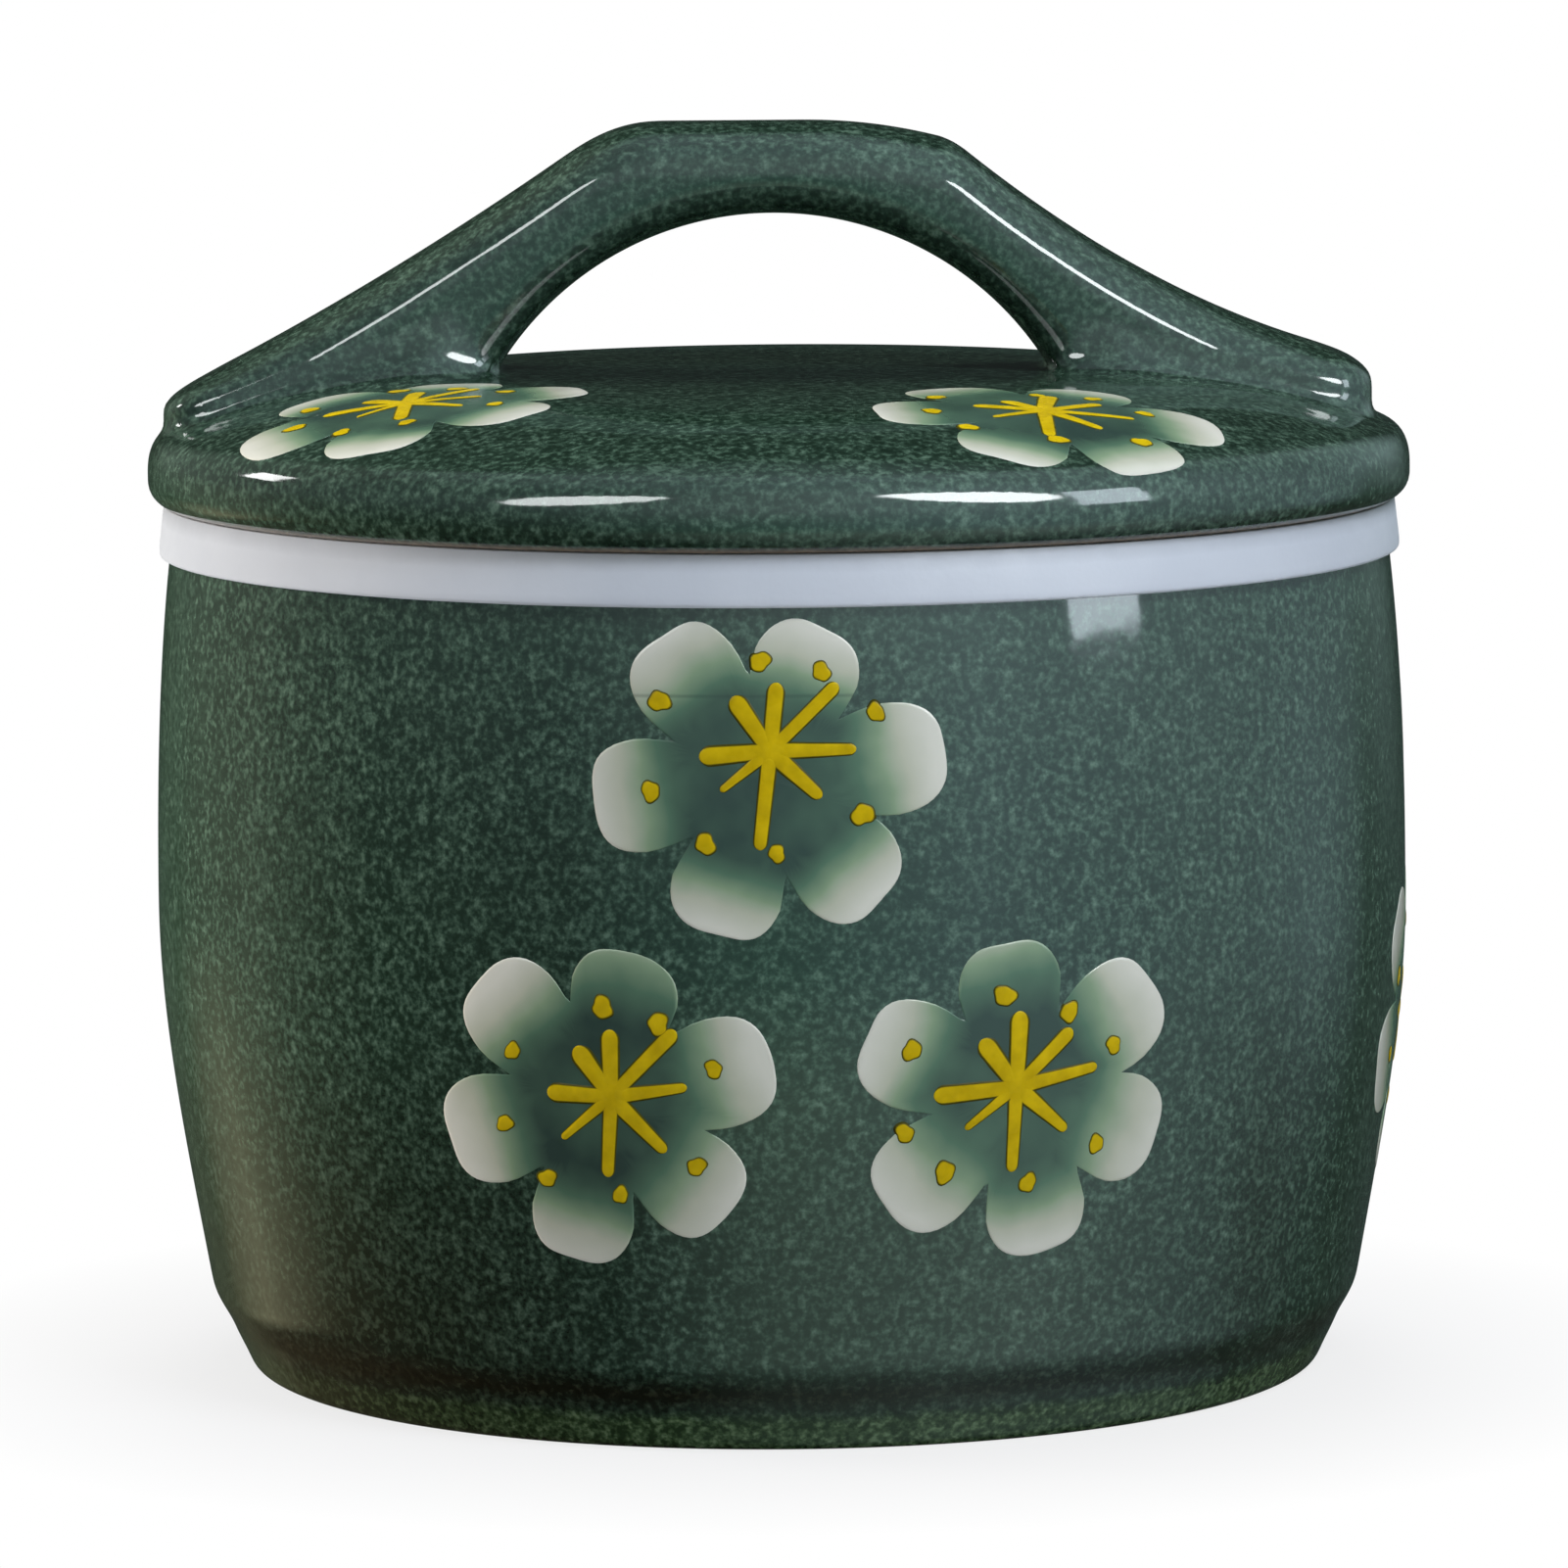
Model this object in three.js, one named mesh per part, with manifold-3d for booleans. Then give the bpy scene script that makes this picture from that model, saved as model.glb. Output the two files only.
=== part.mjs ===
// Ceramic rice jar: a barrel-shaped stoneware jar on a foot ring, a silicone seal that caps its rim,
// and a domed lid with a strap handle that spans the whole lid. The handle is fired in one with the lid.
// Millimetres, +Z up. The origin is on the jar's axis, on the plane that it stands on. The front faces -Y.
import * as THREE from 'three';
import { mergeVertices } from 'three/addons/utils/BufferGeometryUtils.js';
import Module from 'manifold-3d';

// Jar body, outside
const rimHeight = 170.4; // top of the rim above the table
const mouthRadius = 120.3; // outside of the rim, under the seal
const bellyRadius = 124.3; // outside of the wall where it is widest
const bellyHeight = 94; // height of the widest ring
const heelRadius = 114.5; // outside of the wall just above the foot
const heelHeight = 16.5; // height where the wall starts
const heelFlare = 4.5; // how far the wall leans out over its lowest stretch
const heelLean = 0.9; // how far the heel draws in where it turns down to the foot
const shoulderFullness = 3.1; // how far the wall bulges past the mouth below the rim
const footRadius = 110.3; // top of the foot
const footHeight = 8.2; // table to the top of the foot
const footTaper = 3; // how far the foot draws in towards the table
const footEdge = 2.2; // rounding of the foot's lower edge
const footCove = 0.7; // how far the hollow above the foot leans out
const footRingWidth = 9; // width of the ring that touches the table
const footRecess = 3; // hollow under the base
const footRecessSlope = 4; // width of the slope from the ring up into that hollow

// Jar body, inside
const wall = 8; // thickness of the wall
const rimWall = 8.3; // thickness of the wall at the rim
const rimEdge = 2; // rounding of the rim's two edges
const neckDepth = 14; // straight stretch below the rim, inside
const floorThickness = 8;
const floorCorner = 18; // rounding between floor and wall

// Seal ring
const sealThickness = 1.5; // skirt outside the rim and lip inside it
const webThickness = 2.3; // web that lies between rim and lid
const skirtDepth = 7.8; // how far the skirt hangs below the rim's top
const skirtBead = 0.35; // how far the skirt's lower edge swells
const lipDepth = 9; // how far the inner lip hangs below the rim's top
const sealClearance = 0.3; // seal to jar, all round
const sealEdge = 0.6; // bevel of the seal's edges

// Lid
const lidOverhang = 3.1; // lid past the seal's skirt
const lidEdgeHeight = 14.5; // bearing face up to where the dome starts
const lidUpperRound = 6.9; // height of the rounding between dome and edge
const lidLowerRound = 5.7; // height of the rounding between edge and bearing face
const lidUnderRise = 1.4; // how far the edge's underside rises outwards
const domeInset = 4; // edge inwards to where the dome starts
const domeRise = 11.1; // dome's edge up to its crown
const domePower = 5; // flat in the middle, steep near the edge
const lidWall = 7; // thickness of the dome
const undersideRound = 14; // rounding between the dome's underside and the spigot
const spigotDepth = 10.9; // ring under the lid that centres it in the mouth
const spigotWall = 6;
const spigotClearance = 0.6; // spigot to the seal's inner lip
const spigotEdge = 1.2; // bevel of the spigot's lower edges

// Handle
const handleSetback = 5.4; // lid's edge in to the tip of a leg, with the handle centred
const handleShift = -2.1; // the handle sits a little to the left on the lid
const fingerHeight = 31.2; // dome's crown up to the top of the arch
const fingerSpan = 109.4; // width of the arch at the height of the crown
const archShift = 1.1; // middle of the arch, from the handle's middle
const barThickness = 17.8; // arch up to the crest
const barHalfWidth = 18; // half of the handle's width over the arch
const tipHalfWidth = 25; // half of its width at the tips
const handleCrown = 10; // height of the rounded back over the two edges
const crownShare = 0.72; // most of a low leg's height that the rounded back takes up
const tipRound = 14; // rounding of the tips' corners, seen from above
const tipDrop = 2.4; // how far a tip's top is rounded down
const footFillet = 9; // hollow fillet between handle and dome
const tipFilletShare = 0.3; // share of the fillet that is left at the tips
const filletSink = 0.8; // how far the fillet's rim dips under the dome's surface
const filletShare = 0.8; // most of a leg's side that the fillet takes up
const archRound = 4; // rounding of the arch's edges
const handleSink = 3; // how far the handle's root reaches into the dome

// The two halves of the handle's top line, which was finished by hand and isn't quite even
const leftCrest = 21.4; // handle's middle out to the end of the flat crest
const leftBend = 17; // length of the bend between crest and leg
const leftBendDrop = 5.8; // how far the bend comes down
const leftLegHollow = 2; // how far the leg sags below a straight line
const leftTipHeight = 6.5; // top of the tip above the dome's edge
const rightCrest = 8;
const rightBend = 29;
const rightBendDrop = 4.1;
const rightLegHollow = 6.3;
const rightTipHeight = 12.5;

// Fineness of the round shapes
const facets = 60; // flat sides of a full turn
const curveSteps = 4; // straight stretches of each profile curve
const curvePull = 0.33; // reach of a wall curve's handles, as a share of its stretch
const domeSteps = 8;
const undersideSteps = 3;
const crownSteps = 4; // stretches of half of the handle's back
const filletSteps = 3;
const bendSteps = 3;
const legSteps = 7;
const tipSteps = 5;

// Glaze and silicone
const glaze = new THREE.MeshStandardMaterial({ color: 0x3c5148, roughness: 0.22, metalness: 0 });
const silicone = new THREE.MeshStandardMaterial({ color: 0xd9d8dc, roughness: 0.5, metalness: 0 });

const wasm = await Module();
wasm.setup();

// Merge the shared corners and drop the triangles that have shrunk to a line on the axis.
function closed(geometry) {
  geometry.deleteAttribute('normal');
  geometry.deleteAttribute('uv');
  const merged = mergeVertices(geometry);
  const old = merged.index.array;
  const kept = [];
  for (let i = 0; i < old.length; i += 3) {
    const [a, b, c] = [old[i], old[i + 1], old[i + 2]];
    if (a !== b && b !== c && c !== a) kept.push(a, b, c);
  }
  merged.setIndex(kept);
  return merged;
}

// Turn a profile of (radius, height) points about the Z axis.
function turned(points) {
  return closed(new THREE.LatheGeometry(points, facets).rotateX(Math.PI / 2));
}

function toSolid(geometry) {
  const vertProperties = new Float32Array(geometry.attributes.position.array);
  const triVerts = new Uint32Array(geometry.index.array);
  return new wasm.Manifold(new wasm.Mesh({ numProp: 3, vertProperties, triVerts }));
}

function toGeometry(solid) {
  const mesh = solid.getMesh();
  const geometry = new THREE.BufferGeometry();
  geometry.setAttribute('position', new THREE.BufferAttribute(mesh.vertProperties, 3));
  geometry.setIndex(new THREE.BufferAttribute(mesh.triVerts, 1));
  return geometry;
}

function named(name, geometry, material) {
  geometry.computeVertexNormals();
  const mesh = new THREE.Mesh(geometry, material);
  mesh.name = name;
  return mesh;
}

// Jar body: one profile from the middle of the base, up the outside and down the inside to the floor.
const innerMouth = mouthRadius - rimWall;
const floorHeight = footRecess + floorThickness;
const heelTurn = heelHeight - footHeight;
const lowerWall = bellyHeight - heelHeight;
const upperWall = rimHeight - bellyHeight;

function jarOutside() {
  const standRadius = footRadius - footTaper - footEdge;
  const ringInside = standRadius - footRingWidth;
  const path = new THREE.Path();
  path.moveTo(0, footRecess);
  path.lineTo(ringInside - footRecessSlope, footRecess);
  path.lineTo(ringInside, 0);
  path.lineTo(standRadius, 0);
  path.quadraticCurveTo(footRadius - footTaper, 0, footRadius - footTaper, footEdge);
  path.lineTo(footRadius, footHeight);
  path.bezierCurveTo(footRadius + footCove, footHeight + curvePull * heelTurn,
    heelRadius - heelLean, heelHeight - curvePull * heelTurn, heelRadius, heelHeight);
  path.bezierCurveTo(heelRadius + heelFlare, heelHeight + curvePull * lowerWall,
    bellyRadius, bellyHeight - curvePull * lowerWall, bellyRadius, bellyHeight);
  path.bezierCurveTo(bellyRadius, bellyHeight + curvePull * upperWall,
    mouthRadius + shoulderFullness, rimHeight - curvePull * upperWall, mouthRadius, rimHeight - rimEdge);
  return path.getPoints(curveSteps);
}

const outside = jarOutside();

// Outside radius of the jar's wall at a height above its heel.
function wallRadius(height) {
  const top = outside.findIndex((point) => point.y >= height);
  const [low, high] = [outside[top - 1], outside[top]];
  return THREE.MathUtils.mapLinear(height, low.y, high.y, low.x, high.x);
}

// The rim's two rounded edges, a straight neck, an even wall and a rounded corner down to the floor.
function jarInside() {
  const neckBottom = rimHeight - neckDepth;
  const cornerTop = floorHeight + floorCorner;
  const cornerRadius = wallRadius(cornerTop) - wall;
  const even = outside.filter((point) => point.y > cornerTop && point.y < neckBottom).reverse();
  const path = new THREE.Path();
  path.moveTo(mouthRadius, rimHeight - rimEdge);
  path.quadraticCurveTo(mouthRadius, rimHeight, mouthRadius - rimEdge, rimHeight);
  path.lineTo(innerMouth + rimEdge, rimHeight);
  path.quadraticCurveTo(innerMouth, rimHeight, innerMouth, rimHeight - rimEdge);
  path.lineTo(innerMouth, neckBottom);
  for (const point of even) path.lineTo(point.x - wall, point.y);
  path.lineTo(cornerRadius, cornerTop);
  path.quadraticCurveTo(cornerRadius, floorHeight, cornerRadius - floorCorner, floorHeight);
  path.lineTo(0, floorHeight);
  return path.getPoints(curveSteps).slice(1);
}

function jarBody() {
  return turned([...outside, ...jarInside()]);
}

// Seal ring: a channel that caps the rim, with a skirt that follows the wall outside and a lip inside.
const sealTop = rimHeight + webThickness;
const sealRadius = mouthRadius + sealClearance + sealThickness;
const lipOutside = innerMouth - sealClearance;
const lipInside = lipOutside - sealThickness;

function sealRing() {
  const skirtBottom = rimHeight - skirtDepth;
  const skirtInside = wallRadius(skirtBottom) + sealClearance;
  const skirtOutside = skirtInside + sealThickness + skirtBead;
  const lipBottom = rimHeight - lipDepth;
  const path = new THREE.Path();
  path.moveTo(skirtInside, skirtBottom);
  path.lineTo(skirtOutside - sealEdge, skirtBottom);
  path.quadraticCurveTo(skirtOutside, skirtBottom, skirtOutside, skirtBottom + sealThickness);
  path.lineTo(sealRadius, sealTop - sealEdge);
  path.lineTo(sealRadius - sealEdge, sealTop);
  path.lineTo(lipInside + sealEdge, sealTop);
  path.lineTo(lipInside, sealTop - sealEdge);
  path.lineTo(lipInside, lipBottom);
  path.lineTo(lipOutside, lipBottom);
  path.lineTo(lipOutside, rimHeight - rimEdge);
  path.quadraticCurveTo(lipOutside, rimHeight, innerMouth + rimEdge, rimHeight);
  path.lineTo(mouthRadius - rimEdge, rimHeight);
  path.quadraticCurveTo(mouthRadius + sealClearance, rimHeight, mouthRadius + sealClearance,
    rimHeight - rimEdge);
  path.lineTo(skirtInside, skirtBottom);
  return turned(path.getPoints(curveSteps));
}

// Lid: a shallow dome with a thick rounded edge, and a spigot ring underneath.
const lidRadius = sealRadius + lidOverhang;
const domeRadius = lidRadius - domeInset;
const domeEdgeHeight = sealTop + lidEdgeHeight;
const crownHeight = domeEdgeHeight + domeRise;

function domeHeight(radius) {
  return crownHeight - domeRise * (radius / domeRadius) ** domePower;
}

function domeShell() {
  const spigotOutside = lipInside - spigotClearance;
  const spigotInside = spigotOutside - spigotWall;
  const spigotBottom = sealTop - spigotDepth;
  const domeSlope = (domePower * domeRise) / domeRadius;
  const underRadius = spigotInside - undersideRound;
  const underHeight = domeHeight(underRadius) - lidWall;
  const path = new THREE.Path();
  path.moveTo(0, crownHeight - lidWall);
  for (let i = 1; i <= undersideSteps; i += 1) {
    const radius = (underRadius * i) / undersideSteps;
    path.lineTo(radius, domeHeight(radius) - lidWall);
  }
  path.quadraticCurveTo(spigotInside, underHeight, spigotInside, underHeight - undersideRound);
  path.lineTo(spigotInside, spigotBottom + spigotEdge);
  path.lineTo(spigotInside + spigotEdge, spigotBottom);
  path.lineTo(spigotOutside - spigotEdge, spigotBottom);
  path.lineTo(spigotOutside, spigotBottom + spigotEdge);
  path.lineTo(spigotOutside, sealTop);
  path.lineTo(sealRadius - sealEdge, sealTop);
  path.quadraticCurveTo(lidRadius, sealTop + lidUnderRise, lidRadius, sealTop + lidLowerRound);
  path.lineTo(lidRadius, domeEdgeHeight - lidUpperRound);
  path.quadraticCurveTo(lidRadius, domeEdgeHeight - domeSlope * domeInset, domeRadius, domeEdgeHeight);
  for (let i = domeSteps - 1; i >= 0; i -= 1) {
    const radius = (domeRadius * i) / domeSteps;
    path.lineTo(radius, domeHeight(radius));
  }
  return turned(path.getPoints(curveSteps));
}

// Handle: sections across the strap, lofted from the left tip to the right one. x is measured from the
// handle's own middle. The top line is a flat crest, two bends and two legs that run out to the lid's edge.
const crestHeight = crownHeight + fingerHeight + barThickness;
const tipReach = lidRadius - handleSetback;
const tipStart = tipReach - tipRound;
const leftSide = {
  crest: leftCrest, bend: leftBend, drop: leftBendDrop, hollow: leftLegHollow, tip: leftTipHeight,
};
const rightSide = {
  crest: rightCrest, bend: rightBend, drop: rightBendDrop, hollow: rightLegHollow, tip: rightTipHeight,
};

function strapTop(x) {
  const side = x < 0 ? leftSide : rightSide;
  const out = Math.abs(x);
  const legStart = side.crest + side.bend;
  if (out <= side.crest) return crestHeight;
  if (out <= legStart) return crestHeight - side.drop * ((out - side.crest) / side.bend) ** 2;
  const along = (out - legStart) / (tipReach - legStart);
  const straight = THREE.MathUtils.lerp(crestHeight - side.drop, domeEdgeHeight + side.tip, along);
  return straight - side.hollow * 4 * along * (1 - along);
}

// Half of the strap's width: even over the arch, wider towards the tips, whose corners are round.
function strapHalfWidth(x) {
  const out = Math.abs(x);
  const along = Math.max(0, out - fingerSpan / 2) / (tipReach - fingerSpan / 2);
  const pastCorner = Math.max(0, out - tipStart);
  const corner = tipRound - Math.sqrt(Math.max(0, tipRound ** 2 - pastCorner ** 2));
  return THREE.MathUtils.lerp(barHalfWidth, tipHalfWidth, along) - corner;
}

// Half section of the strap at x, from its root in the dome up the side to the middle of its back.
function halfSection(x) {
  const toTip = Math.max(0, Math.abs(x) - tipStart) / tipRound;
  const halfWidth = strapHalfWidth(x);
  const fillet = footFillet * THREE.MathUtils.lerp(1, tipFilletShare, toTip);
  const outer = halfWidth + fillet;
  const ground = domeHeight(Math.min(Math.hypot(x + handleShift, outer), domeRadius));
  const top = strapTop(x) - tipDrop * toTip ** 4;
  const crown = Math.min(handleCrown, crownShare * (top - ground));
  const filletHeight = Math.min(fillet, filletShare * (top - crown - ground));
  const points = [[outer, ground - handleSink]];
  for (let i = 0; i <= filletSteps; i += 1) {
    const turn = (Math.PI / 2) * (i / filletSteps);
    const lift = (filletHeight + filletSink) * (1 - Math.cos(turn)) - filletSink;
    points.push([outer - fillet * Math.sin(turn), ground + lift]);
  }
  for (let i = 0; i <= crownSteps; i += 1) {
    const turn = (Math.PI / 2) * (i / crownSteps);
    points.push([halfWidth * Math.cos(turn), top - crown + crown * Math.sin(turn)]);
  }
  return points;
}

// Places of the sections on one side, from the end of the crest out to the tip.
function sideStations({ crest, bend }) {
  const stations = [];
  for (let i = 0; i < bendSteps; i += 1) {
    stations.push(crest + (bend * i) / bendSteps);
  }
  for (let i = 0; i < legSteps; i += 1) {
    stations.push(THREE.MathUtils.lerp(crest + bend, tipStart, i / legSteps));
  }
  for (let i = 0; i <= tipSteps; i += 1) {
    stations.push(tipStart + tipRound * Math.sin((Math.PI / 2) * (i / tipSteps)));
  }
  return stations;
}

function strap() {
  const stations = [...sideStations(leftSide).map((out) => -out).reverse(), ...sideStations(rightSide)];
  const positions = [];
  for (const x of stations) {
    const half = halfSection(x);
    const front = half.map(([y, z]) => [x, -y, z]);
    const back = half.slice(0, -1).map(([y, z]) => [x, y, z]).reverse();
    positions.push(...front.flat(), ...back.flat());
  }
  const ring = 2 * halfSection(0).length - 1;
  const index = [];
  for (let s = 0; s + 1 < stations.length; s += 1) {
    for (let i = 0; i < ring; i += 1) {
      const a = s * ring + i;
      const b = s * ring + ((i + 1) % ring);
      index.push(a, a + ring, b, b, a + ring, b + ring);
    }
  }
  const lastRing = (stations.length - 1) * ring;
  for (const first of [0, lastRing]) {
    const middle = positions.length / 3;
    const [x, , rootHeight] = positions.slice(3 * first, 3 * first + 3);
    const topHeight = positions[3 * (first + (ring - 1) / 2) + 2];
    positions.push(x, 0, (rootHeight + topHeight) / 2);
    for (let i = 0; i < ring; i += 1) {
      const a = first + i;
      const b = first + ((i + 1) % ring);
      index.push(middle, ...(first === lastRing ? [b, a] : [a, b]));
    }
  }
  const geometry = new THREE.BufferGeometry();
  geometry.setAttribute('position', new THREE.Float32BufferAttribute(positions, 3));
  geometry.setIndex(index);
  return geometry;
}

// Arch cutter: a round bar across the handle that opens out at both faces, so that it rounds their edges.
function archCutter() {
  const radius = ((fingerSpan / 2) ** 2 + fingerHeight ** 2) / (2 * fingerHeight);
  const centreHeight = crownHeight + fingerHeight - radius;
  const reach = barHalfWidth + 2 * footFillet;
  const path = new THREE.Path();
  path.moveTo(0, -reach);
  path.lineTo(radius + archRound, -reach);
  path.lineTo(radius + archRound, -barHalfWidth);
  path.quadraticCurveTo(radius, -barHalfWidth, radius, archRound - barHalfWidth);
  path.lineTo(radius, barHalfWidth - archRound);
  path.quadraticCurveTo(radius, barHalfWidth, radius + archRound, barHalfWidth);
  path.lineTo(radius + archRound, reach);
  path.lineTo(0, reach);
  const cutter = closed(new THREE.LatheGeometry(path.getPoints(curveSteps), facets));
  return cutter.translate(archShift, 0, centreHeight);
}

function lid() {
  const handle = toSolid(strap()).subtract(toSolid(archCutter()));
  return toGeometry(toSolid(domeShell()).add(handle.translate(handleShift, 0, 0)));
}

const riceJar = new THREE.Group();
riceJar.name = 'rice_jar';
riceJar.add(named('jar_body', jarBody(), glaze));
riceJar.add(named('seal_ring', sealRing(), silicone));
riceJar.add(named('lid', lid(), glaze));

export default riceJar;
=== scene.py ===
# Ceramic rice jar: a flecked green stoneware jar with painted blossoms, a white silicone seal on its rim
# and a domed lid with a strap handle. Shapes are worked out in millimetres, and meshes are made in metres.
import math
import random

import bmesh
import bpy
import numpy as np
from mathutils import Matrix, Vector


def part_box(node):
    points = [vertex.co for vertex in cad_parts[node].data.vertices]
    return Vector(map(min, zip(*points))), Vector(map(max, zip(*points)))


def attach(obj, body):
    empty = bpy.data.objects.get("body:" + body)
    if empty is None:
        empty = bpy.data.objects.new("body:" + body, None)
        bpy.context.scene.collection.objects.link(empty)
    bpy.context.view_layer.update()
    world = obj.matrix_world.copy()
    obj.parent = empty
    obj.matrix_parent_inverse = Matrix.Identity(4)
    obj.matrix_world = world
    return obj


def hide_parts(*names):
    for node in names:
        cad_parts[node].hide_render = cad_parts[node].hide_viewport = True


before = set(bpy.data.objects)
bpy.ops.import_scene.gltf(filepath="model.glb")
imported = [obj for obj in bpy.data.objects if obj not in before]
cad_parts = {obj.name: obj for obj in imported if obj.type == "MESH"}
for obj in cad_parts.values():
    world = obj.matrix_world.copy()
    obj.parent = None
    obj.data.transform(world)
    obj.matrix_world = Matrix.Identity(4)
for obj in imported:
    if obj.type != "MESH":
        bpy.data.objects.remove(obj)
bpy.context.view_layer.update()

MM = 1000.0  # millimetres in a metre

# Sizes that come from the frame
JAR_HIGH = MM * np.array(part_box("jar_body")[1])
SEAL_LOW, SEAL_HIGH = (MM * np.array(corner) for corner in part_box("seal_ring"))
LID_LOW, LID_HIGH = (MM * np.array(corner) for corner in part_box("lid"))
BELLY_RADIUS = JAR_HIGH[0]
RIM_HEIGHT = JAR_HIGH[2]
SKIRT_RADIUS = SEAL_HIGH[0]
LIP_BOTTOM = SEAL_LOW[2]
SEAL_TOP = SEAL_HIGH[2]
LID_RADIUS = LID_HIGH[0]
SPIGOT_BOTTOM = LID_LOW[2]
CREST_HEIGHT = LID_HIGH[2]

# Jar body
MOUTH_RADIUS = 120.3
BELLY_HEIGHT = 94.0
HEEL_RADIUS, HEEL_HEIGHT, HEEL_FLARE, HEEL_LEAN = 114.5, 16.5, 4.5, 0.9
SHOULDER_FULLNESS = 3.1
CURVE_PULL = 0.33  # reach of a wall curve's handles, as a share of its stretch
FOOT_RADIUS, FOOT_HEIGHT, FOOT_TAPER, FOOT_EDGE, FOOT_COVE = 110.3, 8.2, 3.0, 2.2, 0.7
FOOT_RING_WIDTH, FOOT_RECESS, FOOT_RECESS_SLOPE = 9.0, 3.0, 4.0
RECESS_ROUND, RING_ROUND = 1.5, 0.8
WALL, RIM_WALL, RIM_EDGE, NECK_DEPTH = 8.0, 8.3, 2.0, 14.0
NECK_SLOPE, NECK_ROUND = 6.0, 3.0  # from the straight neck down to the even wall
FLOOR_HEIGHT, FLOOR_CORNER = 11.0, 18.0

# Seal ring
SEAL_CLEARANCE, SEAL_THICKNESS, SEAL_EDGE = 0.3, 1.5, 0.3
SKIRT_DEPTH, SKIRT_STRAIGHT = 7.8, 3.0  # below the rim, and the straight part of its inside
SKIRT_ROUNDS, LIP_ROUND = (0.4, 0.7, 0.6), 0.5

# Lid
LID_EDGE_HEIGHT, LID_UPPER_ROUND, LID_LOWER_ROUND, LID_UNDER_RISE = 14.5, 8.0, 4.8, 1.4
DOME_INSET, DOME_RISE, DOME_POWER = 4.0, 11.1, 5
LID_WALL, UNDERSIDE_ROUND = 7.0, 14.0
SPIGOT_WALL, SPIGOT_CLEARANCE, SPIGOT_EDGE, SPIGOT_ROOT = 6.0, 0.6, 1.2, 0.3
LIP_BELOW, LIP_ABOVE = 1.0, 0.9  # the bare brown edge under the lid, from the seal's top
LINER_MARGIN, SEAT_RISE, SEAT_MARGIN = 0.5, 0.3, 2.0  # where the lining and the bare seat end

# Handle. Each side has its crest, bend, bend's drop, leg's hollow, tip's height and drop at its very end.
HANDLE_SETBACK, HANDLE_SHIFT = 5.4, -2.1
FINGER_HEIGHT, FINGER_SPAN, ARCH_SHIFT = 31.2, 109.4, 1.1
BAR_HALF_WIDTH, TIP_HALF_WIDTH, TIP_ROUND = 18.0, 20.0, 14.0
LEFT_SIDE = (21.4, 17.0, 5.8, 2.0, 6.5, 0.3)
RIGHT_SIDE = (8.0, 29.0, 4.1, 6.3, 12.5, 1.6)
CROWN, CROWN_SHARE, CROWN_POWER = 10.0, 0.72, 2.2
KINK_REACH, KINK_STEPS = 2.5, 5  # the top line's kinks are worn soft over this much to each side
TIP_PLAN_POWER, TIP_SHARPER = 3.0, 3.0  # squareness of the tips from above, and of their upper edge
FILLET, ARCH_EDGE, ARCH_FILLET = 15.0, 8.0, 2.0  # reach of the soft blends
FILLET_FROM, FILLET_FULL, FILLET_LEAST = 6.0, 28.0, 0.12  # it widens with the handle's rise over the dome
ARCH_CLEAR = 14.0  # distance from the arch at which the fillet is full
ROOT_SINK = 3.0  # how far the handle's root reaches into the dome
LID_INSET = 0.03  # keeps the lid's mesh just inside the solid

# Blossoms. The petals stand at these turns round the middle of a flower and end at these distances from it.
PETAL_TURNS = (0, 61, 120, 180, 243, 304)
PETAL_REACHES = (34.2, 30.0, 33.2, 33.3, 31.3, 31.9)
PETAL_HALF_LENGTH, PETAL_HALF_WIDTH, PETAL_POWER = 13.0, 10.7, 3.0
PETAL_WAIST, WAIST_FROM, WAIST_TO = 0.8, 15.0, 25.0  # a petal is this share as wide near the middle
WHITE_DEPTH = 14.0  # a petal with less depth than this stays green
CORE_RADIUS = 16.5  # the petals run together inside this
PETAL_LIFT, PAINT_SINK, STAMEN_LIFT = 0.1, 0.3, 0.3  # paint above and below the glaze's surface
PETAL_WAVES, PETAL_WAVE = (5, 11, 19), 1.5  # unevenness of the petals' outline
DROP_WAVES, DROP_WAVE = (2, 3, 5), 0.28  # unevenness of a drop's, as a share of its size
ANY_PHASE = 6.28  # about a full turn
PALE_EDGE, PALE_WIDTH, PALE_FROM, PALE_RAMP = 0.5, 2.2, 22.0, 3.0  # pale line round the petals' ends
STROKE_DARK_FROM, STROKE_DARK_FULL = 0.55, 0.85  # a stroke's olive edge of painted shade, as shares of its half width
# Stamens: direction, length, width at the hub, width at the end. Dots: direction, distance from the hub.
STAMENS = ((130, 12.2, 3.4, 5.2), (85, 14.3, 3.6, 4.3), (45, 16.3, 3.0, 3.5), (4, 15.5, 3.8, 2.3),
           (-44, 13.2, 4.4, 2.5), (-91, 17.0, 3.6, 3.2), (-137, 13.2, 3.0, 1.7), (181, 14.5, 3.4, 4.4))
DOTS = ((95, 17.0), (55, 17.8), (17, 20.7), (-37, 21.5),
        (-84, 19.3), (-128, 21.7), (-164, 22.8), (155, 21.8))
DOT_SIZE, HUB_SIZE = 4.3, 6.4

# Flowers on the wall, in groups of three: azimuth, height, turn, hub's place, depth of white on each petal
WALL_FLOWERS = (
    (-1.38, 130.8, 8, (1.0, 5.1), (20, 17, 17, 18, 16, 16)),
    (-16.33, 68.7, 15, (2.3, 1.5), (19, 7, 19, 20, 17, 21)),
    (21.53, 68.7, 37, (-1.4, 2.2), (21, 8, 18, 23, 18, 21)),
)
GROUP_AZIMUTHS = (0.0, 104.2, -128.5)
# Flowers on the lid: middle, turn, hub's place, depths
LID_FLOWERS = (
    ((-70.5, -57.0), 12, (-1.3, 3.7), (15, 14, 15, 16, 14, 16)),
    ((50.8, -79.5), 10, (-0.2, 2.0), (17, 12, 12, 14, 13, 16)),
)

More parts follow.
